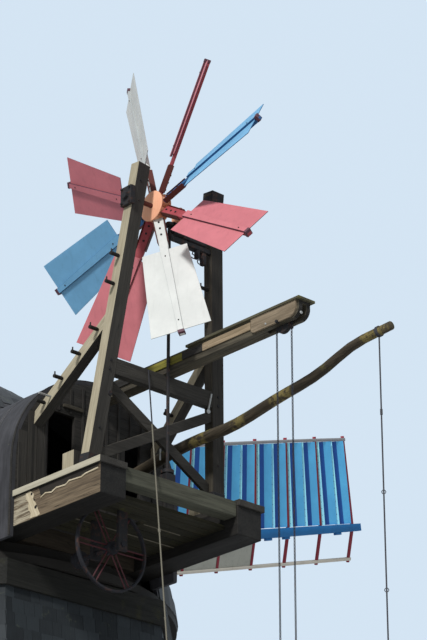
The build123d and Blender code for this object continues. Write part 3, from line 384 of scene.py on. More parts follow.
# %% Iron, felt, shingles, brick, stone, rope and glass
def iron(name, colour, rust, rough=0.6, metallic=0.2):
    """Forged iron, dull and pitted, with clouds of rust."""
    f = Finish(name, metallic, 0.25)
    cloud = f.noise(f.places(), 14, 6, 0.65)
    pit = f.noise(f.places(), 120, 4)
    rusty = f.mix(f.ramp(cloud, 0.5, 0.68) * rust, colour, (0.17, 0.065, 0.03))
    f.bump(cloud * 0.4 + pit * 0.6, 0.35, 0.0015)
    return f.done(rusty, rough + pit * 0.25)


def felt(name, colour):
    """Roofing felt: fine grit, soft streaks down the roof, a little lichen."""
    f = Finish(name, specular=0.2)
    grit = f.noise(f.places(), 420, 2)
    cloud = f.noise(f.places(), 1.7, 6, 0.6)
    rain = f.noise(f.stretch(f.places(), (2.5, 22, 2.5)), 1.0, 4)
    tone = f.ramp(cloud * 0.6 + rain * 0.4, 0.35, 0.68)
    shade = f.mix(tone, tuple(c * 0.62 for c in colour), tuple(c * 1.35 for c in colour))
    spot = f.ramp(f.noise(f.places(), 9, 8, 0.75), 0.64, 0.7)
    shade = f.mix(spot * 0.35, shade, (0.16, 0.17, 0.1))
    f.bump(grit * 0.5 + cloud * 0.5, 0.3, 0.003)
    return f.done(shade, 0.92 - tone * 0.08)


def shingled(name, light, dark):
    """Shingles: each its own tone, weathered along its length."""
    f = Finish(name, specular=0.3)
    g = f.carried("grain")
    own = f.shade("tone")
    streak = f.noise(f.stretch(g, (6, 70, 70)), 1.0, 5, 0.6)
    cloud = f.noise(f.places(), 0.8, 5, 0.6)
    tone = f.ramp(own * 0.55 + streak * 0.45 + cloud * 0.5, 0.35, 1.05)
    shade = f.mix(tone, dark, light)
    lichen = f.ramp(f.noise(f.places(), 7, 8, 0.7), 0.6, 0.68)
    shade = f.mix(lichen * 0.25, shade, (0.1, 0.115, 0.07))
    f.bump(streak, 0.5, 0.003)
    return f.done(shade, 0.8 - tone * 0.12)


def fired_brick(name):
    """Bricks: each its own red, sooty in places and stained."""
    f = Finish(name, specular=0.2)
    own = f.shade("tone")
    cloud = f.noise(f.places(), 26, 6, 0.65)
    grit = f.noise(f.places(), 300, 3)
    stain = f.noise(f.places(), 0.9, 5)
    red = f.mix(own, (0.2, 0.055, 0.035), (0.42, 0.15, 0.085))
    red = f.mix(f.ramp(cloud, 0.45, 0.75) * 0.5, red, (0.13, 0.05, 0.04))
    red = f.mix(f.ramp(stain, 0.5, 0.75) * 0.4, red, (0.16, 0.12, 0.09))
    f.bump(cloud * 0.5 + grit * 0.5, 0.5, 0.003)
    return f.done(red, 0.88 - own * 0.1)


def plain_stone(name, light, dark, scale):
    """Stone or mortar, cloudy at a scale and gritty."""
    f = Finish(name, specular=0.2)
    cloud = f.noise(f.places(), scale, 8, 0.62)
    grit = f.noise(f.places(), 160, 3)
    f.bump(cloud * 0.5 + grit * 0.5, 0.4, 0.004)
    return f.done(f.mix(f.ramp(cloud, 0.35, 0.65), dark, light), 0.9 - grit * 0.1)


def laid_rope(name, light, dark, painted_shade_from=None):
    """Twisted strands, drawn by a slanting wave, and darker above a given height: painted shade."""
    f = Finish(name, specular=0.2)
    turned = f.node("Mapping", None, {"Vector": f.places(), "Rotation": (0.6, 0.5, 0)})
    settings = {"wave_type": "BANDS", "bands_direction": "Z"}
    strand = f.node("TexWave", settings, {"Vector": turned, "Scale": 22.0, "Distortion": 0.6}, "Fac")
    hair = f.noise(f.places(), 240, 3)
    f.bump(strand * 0.8 + hair * 0.2, 0.8, 0.003)
    shade = f.mix(strand * 0.7 + hair * 0.3, dark, light)
    if painted_shade_from is not None:
        in_shade = f.ramp(f.axis(f.places(), 2), painted_shade_from, painted_shade_from + 0.02)
        shade = f.mix(in_shade, shade, (0.035, 0.035, 0.04))
    return f.done(shade, 0.9 - hair * 0.1)


def window_glass(name):
    """Old panes, slightly wavy."""
    f = Finish(name, specular=0.5)
    f.shader.inputs["Transmission Weight"].default_value = 0.85
    f.shader.inputs["IOR"].default_value = 1.45
    wave = f.noise(f.places(), 6, 2)
    f.bump(wave, 0.12, 0.002)
    return f.done(f.mix(wave, (0.7, 0.78, 0.8), (0.82, 0.88, 0.88)), 0.04 + wave * 0.04)


DARK_IRON = iron("dark_iron", (0.022, 0.021, 0.022), 0.3)
WHEEL_IRON = iron("wheel_iron", (0.022, 0.022, 0.026), 0.3)
CHAIN_STEEL = iron("chain_steel", (0.035, 0.037, 0.045), 0.35, 0.5, 0.5)
PALE_IRON = iron("pale_iron", (0.42, 0.42, 0.4), 0.2, 0.45, 0.5)
ROOF_FELT = felt("roof_felt", (0.055, 0.055, 0.06))
SEAM_FELT = felt("seam_felt", (0.11, 0.11, 0.115))
TOWER_SHINGLE = shingled("tower_shingle", (0.022, 0.027, 0.03), (0.009, 0.011, 0.0125))
DOME_SHINGLE = shingled("dome_shingle", (0.06, 0.063, 0.066), (0.02, 0.021, 0.023))
BRICK = fired_brick("fired_brick")
MORTAR = plain_stone("mortar", (0.42, 0.38, 0.32), (0.28, 0.25, 0.21), 18)
FLAGS = plain_stone("stone_flags", (0.46, 0.43, 0.38), (0.3, 0.28, 0.25), 2.2)
# The hemp rope is darker above 11.46 m: painted shade.
ROPE = laid_rope("hemp_rope", (0.24, 0.225, 0.175), (0.11, 0.1, 0.075), 11.46)
TARRED_ROPE = laid_rope("tarred_rope", (0.09, 0.09, 0.1), (0.03, 0.03, 0.033))
GLASS = window_glass("window_glass")
print("finishes in all:", len(bpy.data.materials))

# %% [markdown]
# ## Ropes
# Two ropes hang in the view. One leads from the cross rail down past the stage, held taut from
# below. The other hangs from the end of the brake lever to within a person's reach. Each is a
# smooth curve with a round section. The knots at their lower ends aren't modelled: they are
# outside the view, and the cord's row names them.


# %% Rope helpers
def link(name, data):
    """A new object at the origin that shows a mesh or a curve."""
    obj = bpy.data.objects.new(name, data)
    scene.collection.objects.link(obj)
    return obj


def rope(name, points, radius, body, node, finish):
    """A smooth curve through the route's points, with a round section."""
    data = bpy.data.curves.new(name, "CURVE")
    data.dimensions = "3D"
    data.bevel_depth = radius
    data.bevel_resolution = 3
    data.use_fill_caps = True
    line = data.splines.new("NURBS")
    line.points.add(len(points) - 1)
    for spot, (x, y, z) in zip(line.points, points):
        spot.co = (x, y, z, 1)
    line.order_u = 3
    line.use_endpoint_u = True
    data.materials.append(finish)
    made = link(name, data)
    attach(made, body)
    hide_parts(node)
    return made


ROPE_RADIUS = 0.008
guide = rope(
    "guide_rope_line",
    [(-0.25, -3.869, 12.15), (-0.43, -4.2425, 10.5), (-0.61, -4.616, 8.85)],
    ROPE_RADIUS, "cap", "guide_rope", ROPE,
)
BRAKE_ROPE_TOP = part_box("brake_rope")[1][2]
brake = rope(
    "brake_rope_line",
    [(0.5, -6.53, BRAKE_ROPE_TOP), (0.5, -6.53, 6.5), (0.5, -6.53, 1.5)],
    ROPE_RADIUS, "lever", "brake_rope", TARRED_ROPE,
)
print("ropes made; brake rope top at", round(BRAKE_ROPE_TOP, 3))

# %% [markdown]
# ## Making pieces
# A timber of the frame is copied and merged, its edges are rounded off with a small bevel, and
# its grain is laid along its longest direction. Small things that repeat, such as bricks,
# shingles and links, are one template that is laid out many times in one mesh.


# %% Making pieces
def piece(name, source, finishes, body, slot, stands_for=(), smooth=None):
    """Turns a bmesh or a mesh into a finished piece that rides on a body."""
    if isinstance(source, bmesh.types.BMesh):
        mesh = bpy.data.meshes.new(name)
        source.to_mesh(mesh)
        source.free()
    else:
        mesh = source
    for finish in finishes if isinstance(finishes, (list, tuple)) else [finishes]:
        mesh.materials.append(finish)
    if smooth is not None:
        mesh.shade_smooth()
        mesh.set_sharp_from_angle(angle=math.radians(smooth))
    made = link(name, mesh)
    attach(made, body)
    if stands_for:
        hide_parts(*stands_for)
    return made


def islands(bm):
    """Groups of points that hang together."""
    seen = set()
    for start in bm.verts:
        if start in seen:
            continue
        group, stack = [], [start]
        seen.add(start)
        while stack:
            v = stack.pop()
            group.append(v)
            for e in v.link_edges:
                w = e.other_vert(v)
                if w not in seen:
                    seen.add(w)
                    stack.append(w)
        yield group


def lay_grain(bm, seed=1):
    """Gives each solid a grain along its longest direction."""
    layer = bm.verts.layers.float_vector.new("grain")
    tone = bm.verts.layers.float.new("tone")
    rng = random.Random(seed)
    for group in islands(bm):
        points = np.array([v.co for v in group])
        middle = points.mean(axis=0)
        frame_of = np.linalg.svd(points - middle, full_matrices=False)[2]
        offset = np.array([rng.uniform(0, 30) for _ in range(3)])
        own = rng.random()
        for v, local in zip(group, (points - middle) @ frame_of.T + offset):
            v[layer] = local
            v[tone] = own


def copy_of(node, flat=True):
    """The node's mesh, merged, with its flat faces made whole unless flat is False."""
    bm = bmesh.new()
    bm.from_mesh(NODES[node].data)
    bmesh.ops.remove_doubles(bm, verts=bm.verts, dist=0.0001)
    if flat:
        bmesh.ops.dissolve_limit(bm, angle_limit=math.radians(0.6), verts=bm.verts, edges=bm.edges)
    return bm


def round_edges(bm, width, steps=2):
    """Bevels every edge that turns by more than 35 degrees."""
    sharp = []
    for edge in bm.edges:
        if len(edge.link_faces) == 2 and edge.calc_face_angle(0) > math.radians(35):
            sharp.append(edge)
    bmesh.ops.bevel(
        bm, geom=sharp, offset=width, offset_type="OFFSET", segments=steps,
        profile=0.5, affect="EDGES", material=-1, clamp_overlap=True,
    )


BODY_OF = {}
for body_name, empty in frame["bodies"].items():
    for node_name, node_object in NODES.items():
        if node_object.parent is empty:
            BODY_OF[node_name] = body_name
SLOT_OF = {row["node"]: row["material_slot"] for row in frame["record"]["subparts"]}


def worn(node, finishes, width=0.005, seed=1, smooth=25, steps=2, sort=None):
    """A copy of a node with worn edges, in place of it. A sorting rule picks a face's finish."""
    bm = copy_of(node)
    if sort is not None:
        for face in bm.faces:
            face.material_index = sort(face.calc_center_median(), face.normal)
    round_edges(bm, width, steps)
    lay_grain(bm, seed)
    return piece(node + "_worn", bm, finishes, BODY_OF[node], SLOT_OF[node], (node,), smooth)


def rear_side(centre, normal):
    """1 for faces that look to the rear or down, 0 for the others."""
    return 1 if normal.y < -0.5 or normal.z < -0.5 else 0


def coping_side(centre, normal):
    """Like rear_side, but the right coping gets painted shade all round, as it lies in the stage's
    shade.
    """
    return 1 if centre.x > 0 else rear_side(centre, normal)


def left_side(centre, normal):
    """0 for faces that look to the left, towards the lamp, 1 for the others, which get painted shade.
    """
    return 0 if normal.x < -0.8 else 1


def keep(node, finish):
    """The frame's own solid with a better material."""
    data = NODES[node].data
    data.materials.clear()
    data.materials.append(finish)


def template_box(bevel=0.0):
    """A unit box, with its edges taken off where bevel is given."""
    bm = bmesh.new()
    bmesh.ops.create_cube(bm, size=1)
    if bevel:
        bmesh.ops.bevel(
            bm, geom=bm.edges[:], offset=bevel, offset_type="OFFSET", segments=1,
            profile=0.5, affect="EDGES", material=-1,
        )
    return bm


def strew(name, template, places, finish, body, slot, seed=1, stands_for=(), smooth=None):
    """One piece with a copy of the template at every place, grain along its x."""
    rng = np.random.default_rng(seed)
    template.verts.index_update()
    base = np.array([v.co for v in template.verts])
    faces = [[v.index for v in f.verts] for f in template.faces]
    template.free()
    place = np.array([np.array(m) for m in places])
    points = np.einsum("nij,vj->nvi", place[:, :3, :3], base) + place[:, None, :3, 3]
    size = np.linalg.norm(place[:, :3, :3], axis=1)
    grain = base[None] * size[:, None] + rng.uniform(0, 40, (len(place), 1, 3))
    tones = np.repeat(rng.random(len(place)), len(base))
    all_faces = []
    for k in range(len(place)):
        shift = k * len(base)
        all_faces += [[i + shift for i in f] for f in faces]
    mesh = bpy.data.meshes.new(name)
    mesh.from_pydata(points.reshape(-1, 3).tolist(), [], all_faces)
    laid = mesh.attributes.new("grain", "FLOAT_VECTOR", "POINT")
    laid.data.foreach_set("vector", grain.reshape(-1))
    tone = mesh.attributes.new("tone", "FLOAT", "POINT")
    tone.data.foreach_set("value", tones)
    return piece(name, mesh, finish, body, slot, stands_for, smooth)


def template_stud(sides=6, taper=0.85):
    """A unit stud that stands on its place, a little narrower on top."""
    bm = bmesh.new()
    bmesh.ops.create_cone(
        bm, cap_ends=True, segments=sides, radius1=1, radius2=taper, depth=1,
        matrix=Matrix.Translation((0, 0, 0.5)),
    )
    return bm


def standing(spot, out, radius, height):
    """A place for a stud: its foot, the way it stands, its radius and height."""
    turned = Vector(out).to_track_quat("Z", "Y").to_matrix().to_4x4()
    return Matrix.Translation(spot) @ turned @ Matrix.Diagonal((radius, radius, height, 1))


def rod_place(start, end, radius):
    """A place for a stud that reaches from one point to another."""
    run = Vector(end) - Vector(start)
    return standing(start, run, radius, run.length)


def tube_of(bm, rings, material=0):
    """Skins rings of points one after another and closes both ends."""
    loops = [[bm.verts.new(point) for point in ring] for ring in rings]
    count = len(loops[0])
    made = [bm.faces.new(loops[0][::-1]), bm.faces.new(loops[-1])]
    for first, second in zip(loops, loops[1:]):
        for i in range(count):
            j = (i + 1) % count
            made.append(bm.faces.new((first[i], first[j], second[j], second[i])))
    for face in made:
        face.material_index = material


def round_section(radius, corners):
    """The corners of a small round section."""
    turns = [2 * math.pi * k / corners for k in range(corners)]
    return [(radius * math.cos(a), radius * math.sin(a)) for a in turns]


def hoop(bm, centre, axis, radius, section, steps):
    """Turns a small section, given outwards and along the axis, round a centre."""
    centre, axis = Vector(centre), Vector(axis).normalized()
    side = axis.orthogonal().normalized()
    loop = [bm.verts.new(centre + side * (radius + a) + axis * b) for a, b in section]
    sides = [bm.edges.new((loop[i - 1], loop[i])) for i in range(len(loop))]
    bmesh.ops.spin(
        bm, geom=loop + sides, cent=centre, axis=axis, angle=2 * math.pi,
        steps=steps, use_merge=True, use_duplicate=False,
    )


def outward(bm):
    """Turns all faces to the outside."""
    bmesh.ops.recalc_face_normals(bm, faces=bm.faces)
    return bm


def at(x, y, z, size=(1, 1, 1), turn=None):
    """A place for a template: where, how large, and turned how."""
    turned = turn if turn is not None else Matrix.Identity(4)
    return Matrix.Translation((x, y, z)) @ turned @ Matrix.Diagonal((*size, 1))


def board(x0, x1, y0, y1, z0, z1, along="x"):
    """A place that fills a box with the unit template, grain along an axis."""
    size = {"x": x1 - x0, "y": y1 - y0, "z": z1 - z0}
    middle = ((x0 + x1) / 2, (y0 + y1) / 2, (z0 + z1) / 2)
    turn = {
        "x": Matrix.Identity(4),
        "y": Matrix.Rotation(math.pi / 2, 4, "Z"),
        "z": Matrix.Rotation(-math.pi / 2, 4, "Y"),
    }[along]
    order = {"x": "xyz", "y": "yxz", "z": "zyx"}[along]
    return at(*middle, [size[c] for c in order], turn)


print("bodies:", sorted(set(BODY_OF.values())))

# %% [markdown]
# ## Trestle, beams and stage
# The timbers keep their solids' shapes and get worn edges. The stage's deck is laid board by
# board, because it is seen from below, where the gaps let the light through.

# %% Trestle and beams
# Faces to the rear or down take SHADE_WOOD: painted shade.
for timber in ("fan_post_left", "fan_struts", "post_heels"):
    worn(timber, [POST_WOOD, SHADE_WOOD], 0.006, len(timber), sort=rear_side)
for timber in ("fan_rail", "fan_braces"):
    worn(timber, [DIM_WOOD, SHADE_WOOD], 0.006, len(timber), sort=rear_side)
# The right post stands in the left post's shadow: painted shade, a dim finish on its left faces and a
# near-black one on the rest.
worn("fan_post_right", [DIM_WOOD, POST_IN_SHADE], 0.006, 2, sort=left_side)
# The left beam keeps its oak on its left faces; its other faces and the whole right beam get painted
# shade.
worn("long_beam_left", [OLD_OAK, SHADED_BLACK_WOOD], 0.008, 3, sort=left_side)
worn("long_beam_right", SHADED_BLACK_WOOD, 0.008, 4)
worn("copings", [COPING_BOARD, SHADE_WOOD], sort=coping_side)
worn("end_beam", END_BOARD, 0.008)
worn("climbing_pegs", DARK_IRON, 0.003)
shanks = []
for peg in islands(copy_of("climbing_pegs")):
    low = [min(v.co[c] for v in peg) for c in range(3)]
    high = [max(v.co[c] for v in peg) for c in range(3)]
    y, z = (low[1] + high[1]) / 2, low[2] + 0.015
    shanks.append(rod_place((low[0] - 0.002, y, z), (low[0] + 0.105, y, z), 0.021))
strew("peg_shanks", template_stud(10, 1), shanks, SHADED_BLACK_WOOD, "cap", "dark_wood", 9)
worn("fan_bearings", DARK_IRON, 0.006)
worn("wheel_hangers", DARK_IRON, 0.004)
worn("drive_head", DARK_IRON, 0.004)
worn("lever_stand", TARRED, 0.006)

# %% [markdown]
# The left beam has rotted on its outside. Its skin has come away in a ragged piece near the
# roof, where the wood below is pale, and along its top a hollow runs under the coping. Both
# are thin plates with a ragged outline that lie on the beam's side. The hollow's plate and the
# small discs over its holes are near-black: painted shade, standing for the shade inside them.

# %% Rotten skin of the left beam
BEAM_SIDE = -1.115
PALE_OUTLINE = [
    (-2.95, 10.80), (-3.03, 10.80), (-3.08, 10.757), (-3.066, 10.706), (-3.118, 10.647),
    (-3.154, 10.572), (-3.191, 10.506), (-3.13, 10.496), (-3.02, 10.50), (-3.04, 10.559),
    (-3.0, 10.605), (-3.001, 10.679), (-2.96, 10.73),
]
HOLLOW_OUTLINE = [
    (-3.16, 10.805), (-4.12, 10.805), (-4.118, 10.762), (-3.921, 10.753), (-3.85, 10.735),
    (-3.666, 10.748), (-3.6, 10.72), (-3.457, 10.73), (-3.377, 10.70), (-3.279, 10.719),
    (-3.20, 10.69),
]


def plate(outline, thick, swell):
    """A thin plate on the beam's side. Its outline is ragged by up to swell."""
    bm = bmesh.new()
    rng = random.Random(len(outline))
    ring = []
    for (y0, z0), (y1, z1) in zip(outline, outline[1:] + outline[:1]):
        for share in (0, 0.33, 0.66):
            shift = rng.uniform(-swell, swell) if share else 0
            ring.append((y0 + (y1 - y0) * share + shift, z0 + (z1 - z0) * share + shift))
    tube_of(bm, [[(BEAM_SIDE + x, y, z) for y, z in ring] for x in (0.001, -thick)])
    outward(bm)
    lay_grain(bm, len(outline))
    return bm


piece("beam_pale_skin", plate(PALE_OUTLINE, 0.005, 0.008), BROKEN_OAK, "cap", "weathered_oak")
piece("beam_hollow_shade", plate(HOLLOW_OUTLINE, 0.003, 0.005), HOLLOW_SHADE, "cap", "weathered_oak")
sliver = [(y, z - 0.012) for y, z in HOLLOW_OUTLINE[2:]]
edge = sliver + [(y, z + 0.014) for y, z in sliver[::-1]]
piece("beam_splinters", plate(edge, 0.009, 0.002), BROKEN_OAK, "cap", "weathered_oak")
holes = [(-3.046, 10.766, 0.018), (-3.12, 10.603, 0.022), (-3.09, 10.69, 0.011)]
spots = [standing((BEAM_SIDE - 0.0045, y, z), (-1, 0, 0), r, 0.002) for y, z, r in holes]
strew("beam_holes_shade", template_stud(7, 0.9), spots, HOLLOW_SHADE, "cap", "weathered_oak")
print("left beam dressed")

# %% [markdown]
# The posts stand in iron shoes and carry bolt heads on their rear faces, and an iron socket
# closes the right one's top. Places are easiest in the trestle's own plane: across, up, back.

# %% Ironwork of the trestle
LEAN = math.atan2(358, 3560)
TRESTLE_Y = -3.67
TRESTLE_Z = 10.88
POST_LENGTH = 3.58
POST_FOOT_X = 0.885
POST_HEAD_X = 0.53
BOLT_BACK = 0.065
AXLE_Y = -3.987
AXLE_Z = 14.03


def trestle_spot(x, up, back=0.0):
    """A point of the leaning trestle: across it, up along it, back from its middle."""
    y = TRESTLE_Y - up * math.sin(LEAN) - back * math.cos(LEAN)
    z = TRESTLE_Z + up * math.cos(LEAN) - back * math.sin(LEAN)
    return Vector((x, y, z))


def post_middle(up):
    """How far a post's middle is from the trestle's, at a height up the post."""
    return POST_FOOT_X + (POST_HEAD_X - POST_FOOT_X) * up / POST_LENGTH


def box_corners(half_x, half_y):
    """The corners of a post's or a fitting's section."""
    return [(-half_x, -half_y), (half_x, -half_y), (half_x, half_y), (-half_x, half_y)]


TO_REAR = Vector((0, -math.cos(LEAN), -math.sin(LEAN)))
shoes = bmesh.new()
for side in (-1, 1):
    rings = []
    for up in (0.012, 0.205):
        middle = side * post_middle(up)
        rings.append([trestle_spot(middle + a, up, b) for a, b in box_corners(0.087, 0.071)])
    tube_of(shoes, rings)
socket = box_corners(0.088, 0.078)
tube_of(shoes, [[trestle_spot(0.54 + a, up, b) for a, b in socket] for up in (3.42, 3.6)])
outward(shoes)
round_edges(shoes, 0.004, 1)
piece("trestle_ironwork", shoes, DARK_IRON, "cap", "iron")

heads = []
for x, up, radius in ((-0.571, 3.375, 0.014), (-0.568, 3.141, 0.014), (-0.737, 0.899, 0.034)):
    heads.append(standing(trestle_spot(x, up, BOLT_BACK), TO_REAR, radius, 0.008))
for side in (-1, 1):
    for up in (0.5, 1.16, 1.26):
        spot = trestle_spot(side * post_middle(up), up, BOLT_BACK)
        heads.append(standing(spot, TO_REAR, 0.016, 0.009))
    for dy, dz in ((-0.06, -0.085), (0.06, -0.085), (-0.06, 0.085), (0.06, 0.085)):
        spot = Vector((side * 0.708, AXLE_Y + dy, AXLE_Z + dz))
        heads.append(standing(spot, (side, 0, 0), 0.014, 0.016))
    heads.append(standing((side * 0.7, AXLE_Y, AXLE_Z), (side, 0, 0), 0.05, 0.035))
for y in (-4.08, -3.2, -2.88):
    for x in (-0.945, 0.945):
        heads.append(standing((x, y, 10.879), (0, 0, 1), 0.016, 0.009))
strew("bolt_heads", template_stud(), heads, DARK_IRON, "cap", "iron")

strap = [rod_place(trestle_spot(0.66, 1.27, 0.067), trestle_spot(0.632, 1.09, 0.067), 0.011)]
strap.append(standing(trestle_spot(0.632, 1.065, BOLT_BACK), TO_REAR, 0.026, 0.008))
strap.append(rod_place((-1.03, -3.0, 11.945), (-0.79, -3.0, 11.945), 0.012))
strew("post_straps", template_stud(8, 1), strap, PALE_IRON, "cap", "iron")
print("bolt heads:", len(heads))

# %% [markdown]
# ## Striking beam
# The beam over the rail has a capping board, a pale strip along its left side, mossy where
# the rain stays, and two rounded cheek plates at the wheel.

# %% Striking beam
STRIKE_LEFT = -0.03
STRIKE_TOP = 12.347
STRIP_LOW, STRIP_HIGH = 12.238, 12.322


def strike_part(centre, normal):
    """1 on the capping board, 2 on the left cheek, 3 on faces to the rear, which get painted shade, 0
    elsewhere.
    """
    if centre.z > STRIKE_TOP - 0.001:
        return 1
    if centre.x < STRIKE_LEFT - 0.0005 and centre.y < -5.235:
        return 2
    return 3 if normal.y < -0.3 else 0


worn("striking_beam", [MOSSY_BEAM, CAP_EDGE, CHEEK_BOARD, TARRED], seed=8, sort=strike_part)
# The strip from -4.488 to -4.17 is painted shadow: it lies in a post's shadow, so it takes the dark
# tarred finish.
strips = [
    (SIDE_STRIP, "side_strip", -5.225, -4.49), (TARRED, "shaded_strip", -4.488, -4.17),
    (MOSS, "mossy_strip", -4.168, -3.6), (TARRED, "front_strip", -3.598, -3.05),
]
for finish, name, y0, y1 in strips:
    place = board(STRIKE_LEFT - 0.014, STRIKE_LEFT, y0, y1, STRIP_LOW, STRIP_HIGH, "y")
    strew(name, template_box(0.02), [place], finish, "cap", "weathered_oak", len(name))
pins = [standing((STRIKE_LEFT - 0.021, -5.465, 12.222), (-1, 0, 0), 0.012, 0.008)]
pins.append(standing((0.0, -5.929, 12.21), (0, -1, 0), 0.018, 0.008))
strew("strike_pins", template_stud(8), pins, PALE_IRON, "cap", "iron")
print("striking beam dressed")

# %% Stage deck
DECK_BOARD_WIDTH = 0.155
DECK_GAP = 0.009
(deck_x0, deck_y0, deck_z0), (deck_x1, deck_y1, deck_z1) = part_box("stage_deck")
SLOT_X = (-0.74, 0.02)
SLOT_Y = (-3.51, -3.39)
deck_places = []
y = deck_y0
while y < deck_y1 - 0.02:
    far = min(y + DECK_BOARD_WIDTH, deck_y1)
    parts = [(deck_x0, deck_x1, y, far)]
    if y < SLOT_Y[1] and far > SLOT_Y[0]:
        parts = [(deck_x0, SLOT_X[0], y, far), (SLOT_X[1], deck_x1, y, far)]
        if y < SLOT_Y[0]:
            parts.append((SLOT_X[0], SLOT_X[1], y, SLOT_Y[0]))
        if far > SLOT_Y[1]:
            parts.append((SLOT_X[0], SLOT_X[1], SLOT_Y[1], far))
    for x0, x1, ya, yb in parts:
        deck_places.append(board(x0, x1, ya, yb - DECK_GAP, deck_z0, deck_z1))
    y += DECK_BOARD_WIDTH
strew(
    "deck_boards", template_box(0.012), deck_places, DECK_BOARD, "cap", "boards", 5,
    ("stage_deck",),
)
# Two pale strips under the deck are painted light: the sunlight that shows through the gaps between
# its boards.
laths = [
    board(x0, x1, y0, y0 + 0.015, deck_z0 - 0.004, deck_z0 + 0.001)
    for x0, x1, y0 in ((-0.67, 0.9, -3.14), (0.05, 0.56, -3.485))
]
strew("deck_gap_light", template_box(), laths, PAINTED_GAP_LIGHT, "cap", "boards", 6)
print("deck boards:", len(deck_places))

# %% [markdown]
# ## Fan
# Each blade is a painted board, held between a tapered arm and a flat bar on its rear side.
# Near the hub the arm sits in a channel of red-brown iron, held by three bolts from each side.

# %% Fan
FAN_X = -0.27


def hub_part(centre, normal):
    """1 on the shaft that carries the hub, 0 on its two discs."""
    return 1 if abs(normal.x) < 0.5 and abs(centre.x - FAN_X) > 0.075 else 0


worn("fan_hub", [SALMON, CHANNEL_RED], 0.004, smooth=35, sort=hub_part)
FAN_CENTRE = trestle_spot(FAN_X, 3.166)
FAN_START = 30
FAN_PITCH = math.radians(33)
ARM_ROOT = 0.165
ARM_LENGTH = 1.545
ARM_ROOT_WIDTH = 0.110
ARM_TIP_WIDTH = 0.056
ARM_COLOURS = [ARM_RED, ARM_BLUE, ARM_RED, BLADE_WHITE] * 2


def blade_frame(k):
    """Where a blade lies: x out along it, y across it, z off its face."""
    a = math.radians(FAN_START + 45 * k)
    out = Vector((0, -math.sin(a), math.cos(a)))
    across = Vector((0, math.cos(a), math.sin(a))) * math.cos(FAN_PITCH)
    across += Vector((math.sin(FAN_PITCH), 0, 0))
    face = out.cross(across)
    turned = Matrix((out, across, face)).transposed().to_4x4()
    return Matrix.Translation(FAN_CENTRE) @ turned


def arm_index(point):
    """Which of the eight arms a point is on."""
    v = point - FAN_CENTRE
    a = math.degrees(math.atan2(-v.y, v.z))
    return round((a - FAN_START) / 45) % 8


def arm_part(centre, normal):
    """Each arm has a finish of its own."""
    return arm_index(centre)


def arm_half(x):
    """Half an arm's width at a distance from the fan's centre."""
    return (ARM_ROOT_WIDTH + (ARM_TIP_WIDTH - ARM_ROOT_WIDTH) * (x - ARM_ROOT) / ARM_LENGTH) / 2


worn("fan_arms", ARM_COLOURS, 0.004, 9, 40, sort=arm_part)


def blade_side(centre, normal):
    """0 for a blade's two broad sides, 1 for its thin edges, which get painted shade."""
    off = blade_frame(arm_index(centre)).to_3x3().col[2]
    return 0 if abs(normal.dot(off)) > 0.7 else 1


# Each blade's thin edges take a darker finish of its colour: painted shade.
edges = {"red": RED_BLADE_SHADE, "blue": ARM_BLUE, "white": BLADE_SHADE}
broad = {"red": BLADE_RED, "blue": BLADE_BLUE, "white": BLADE_WHITE}
for colour, finish in broad.items():
    worn("fan_blades_" + colour, [finish, edges[colour]], 0.002, sort=blade_side)

spars = bmesh.new()
for k in range(8):
    place = blade_frame(k)
    rings = []
    for x in (0.58, 1.705):
        half = arm_half(x)
        outline = [(-half, 0.0275), (half, 0.0275), (half, 0.05), (-half, 0.05)]
        rings.append([place @ Vector((x, y, z)) for y, z in outline])
    tube_of(spars, rings, 2 * (k % 4))
    clip = [(-0.036, -0.022), (0.036, -0.022), (0.036, 0.052), (-0.036, 0.052)]
    rings = [[place @ Vector((x, y, z)) for y, z in clip] for x in (1.673, 1.709)]
    tube_of(spars, rings, 8)
outward(spars)
# A spar's narrow sides and its end clip take the dark finishes: painted shade.
for face in spars.faces:
    if face.material_index < 8:
        off = blade_frame(arm_index(face.calc_center_median())).to_3x3().col[2]
        if abs(face.normal.dot(off)) < 0.7:
            face.material_index += 1
round_edges(spars, 0.002, 1)
lay_grain(spars, 14)
spar_finishes = [
    BLADE_RED, RED_BLADE_SHADE, BLADE_BLUE, ARM_BLUE, BLADE_RED, RED_BLADE_SHADE, BLADE_WHITE, BLADE_SHADE,
    RED_BLADE_SHADE,
]
piece("blade_spars", spars, spar_finishes, "fan", SLOT_OF["fan_arms"])

channels = bmesh.new()
bolts = []
for k in range(8):
    place = blade_frame(k)
    rings = []
    for x in (0.18, 0.49):
        half = arm_half(x) + 0.002
        full = half + 0.009
        outline = [
            (-full, 0.032), (-full, -0.031), (full, -0.031), (full, 0.032),
            (half, 0.032), (half, -0.0215), (-half, -0.0215), (-half, 0.032),
        ]
        rings.append([place @ Vector((x, y, z)) for y, z in outline])
    tube_of(channels, rings)
    out = place.to_3x3().col[2]
    for x in (0.215, 0.3, 0.385):
        bolts.append(standing(place @ Vector((x, 0, 0.02)), out, 0.013, 0.008))
        bolts.append(standing(place @ Vector((x, 0, -0.031)), -out, 0.013, 0.008))
    bolts.append(standing(place @ Vector((0.7, 0, 0.05)), out, 0.009, 0.005))
    bolts.append(standing(place @ Vector((1.55, 0, 0.05)), out, 0.009, 0.005))
outward(channels)
round_edges(channels, 0.002, 1)
piece("arm_channels", channels, CHANNEL_RED, "fan", "iron")
strew("arm_bolts", template_stud(), bolts, DARK_IRON, "fan", "iron")
print("channels and bolts:", len(bolts))

# %% [markdown]
# Beside the hub, towards the right post, hangs dark iron that belongs to the drive. From the
# ground it is only a dark cluster, so it is kept plain: a drum, four plates and two hooks.

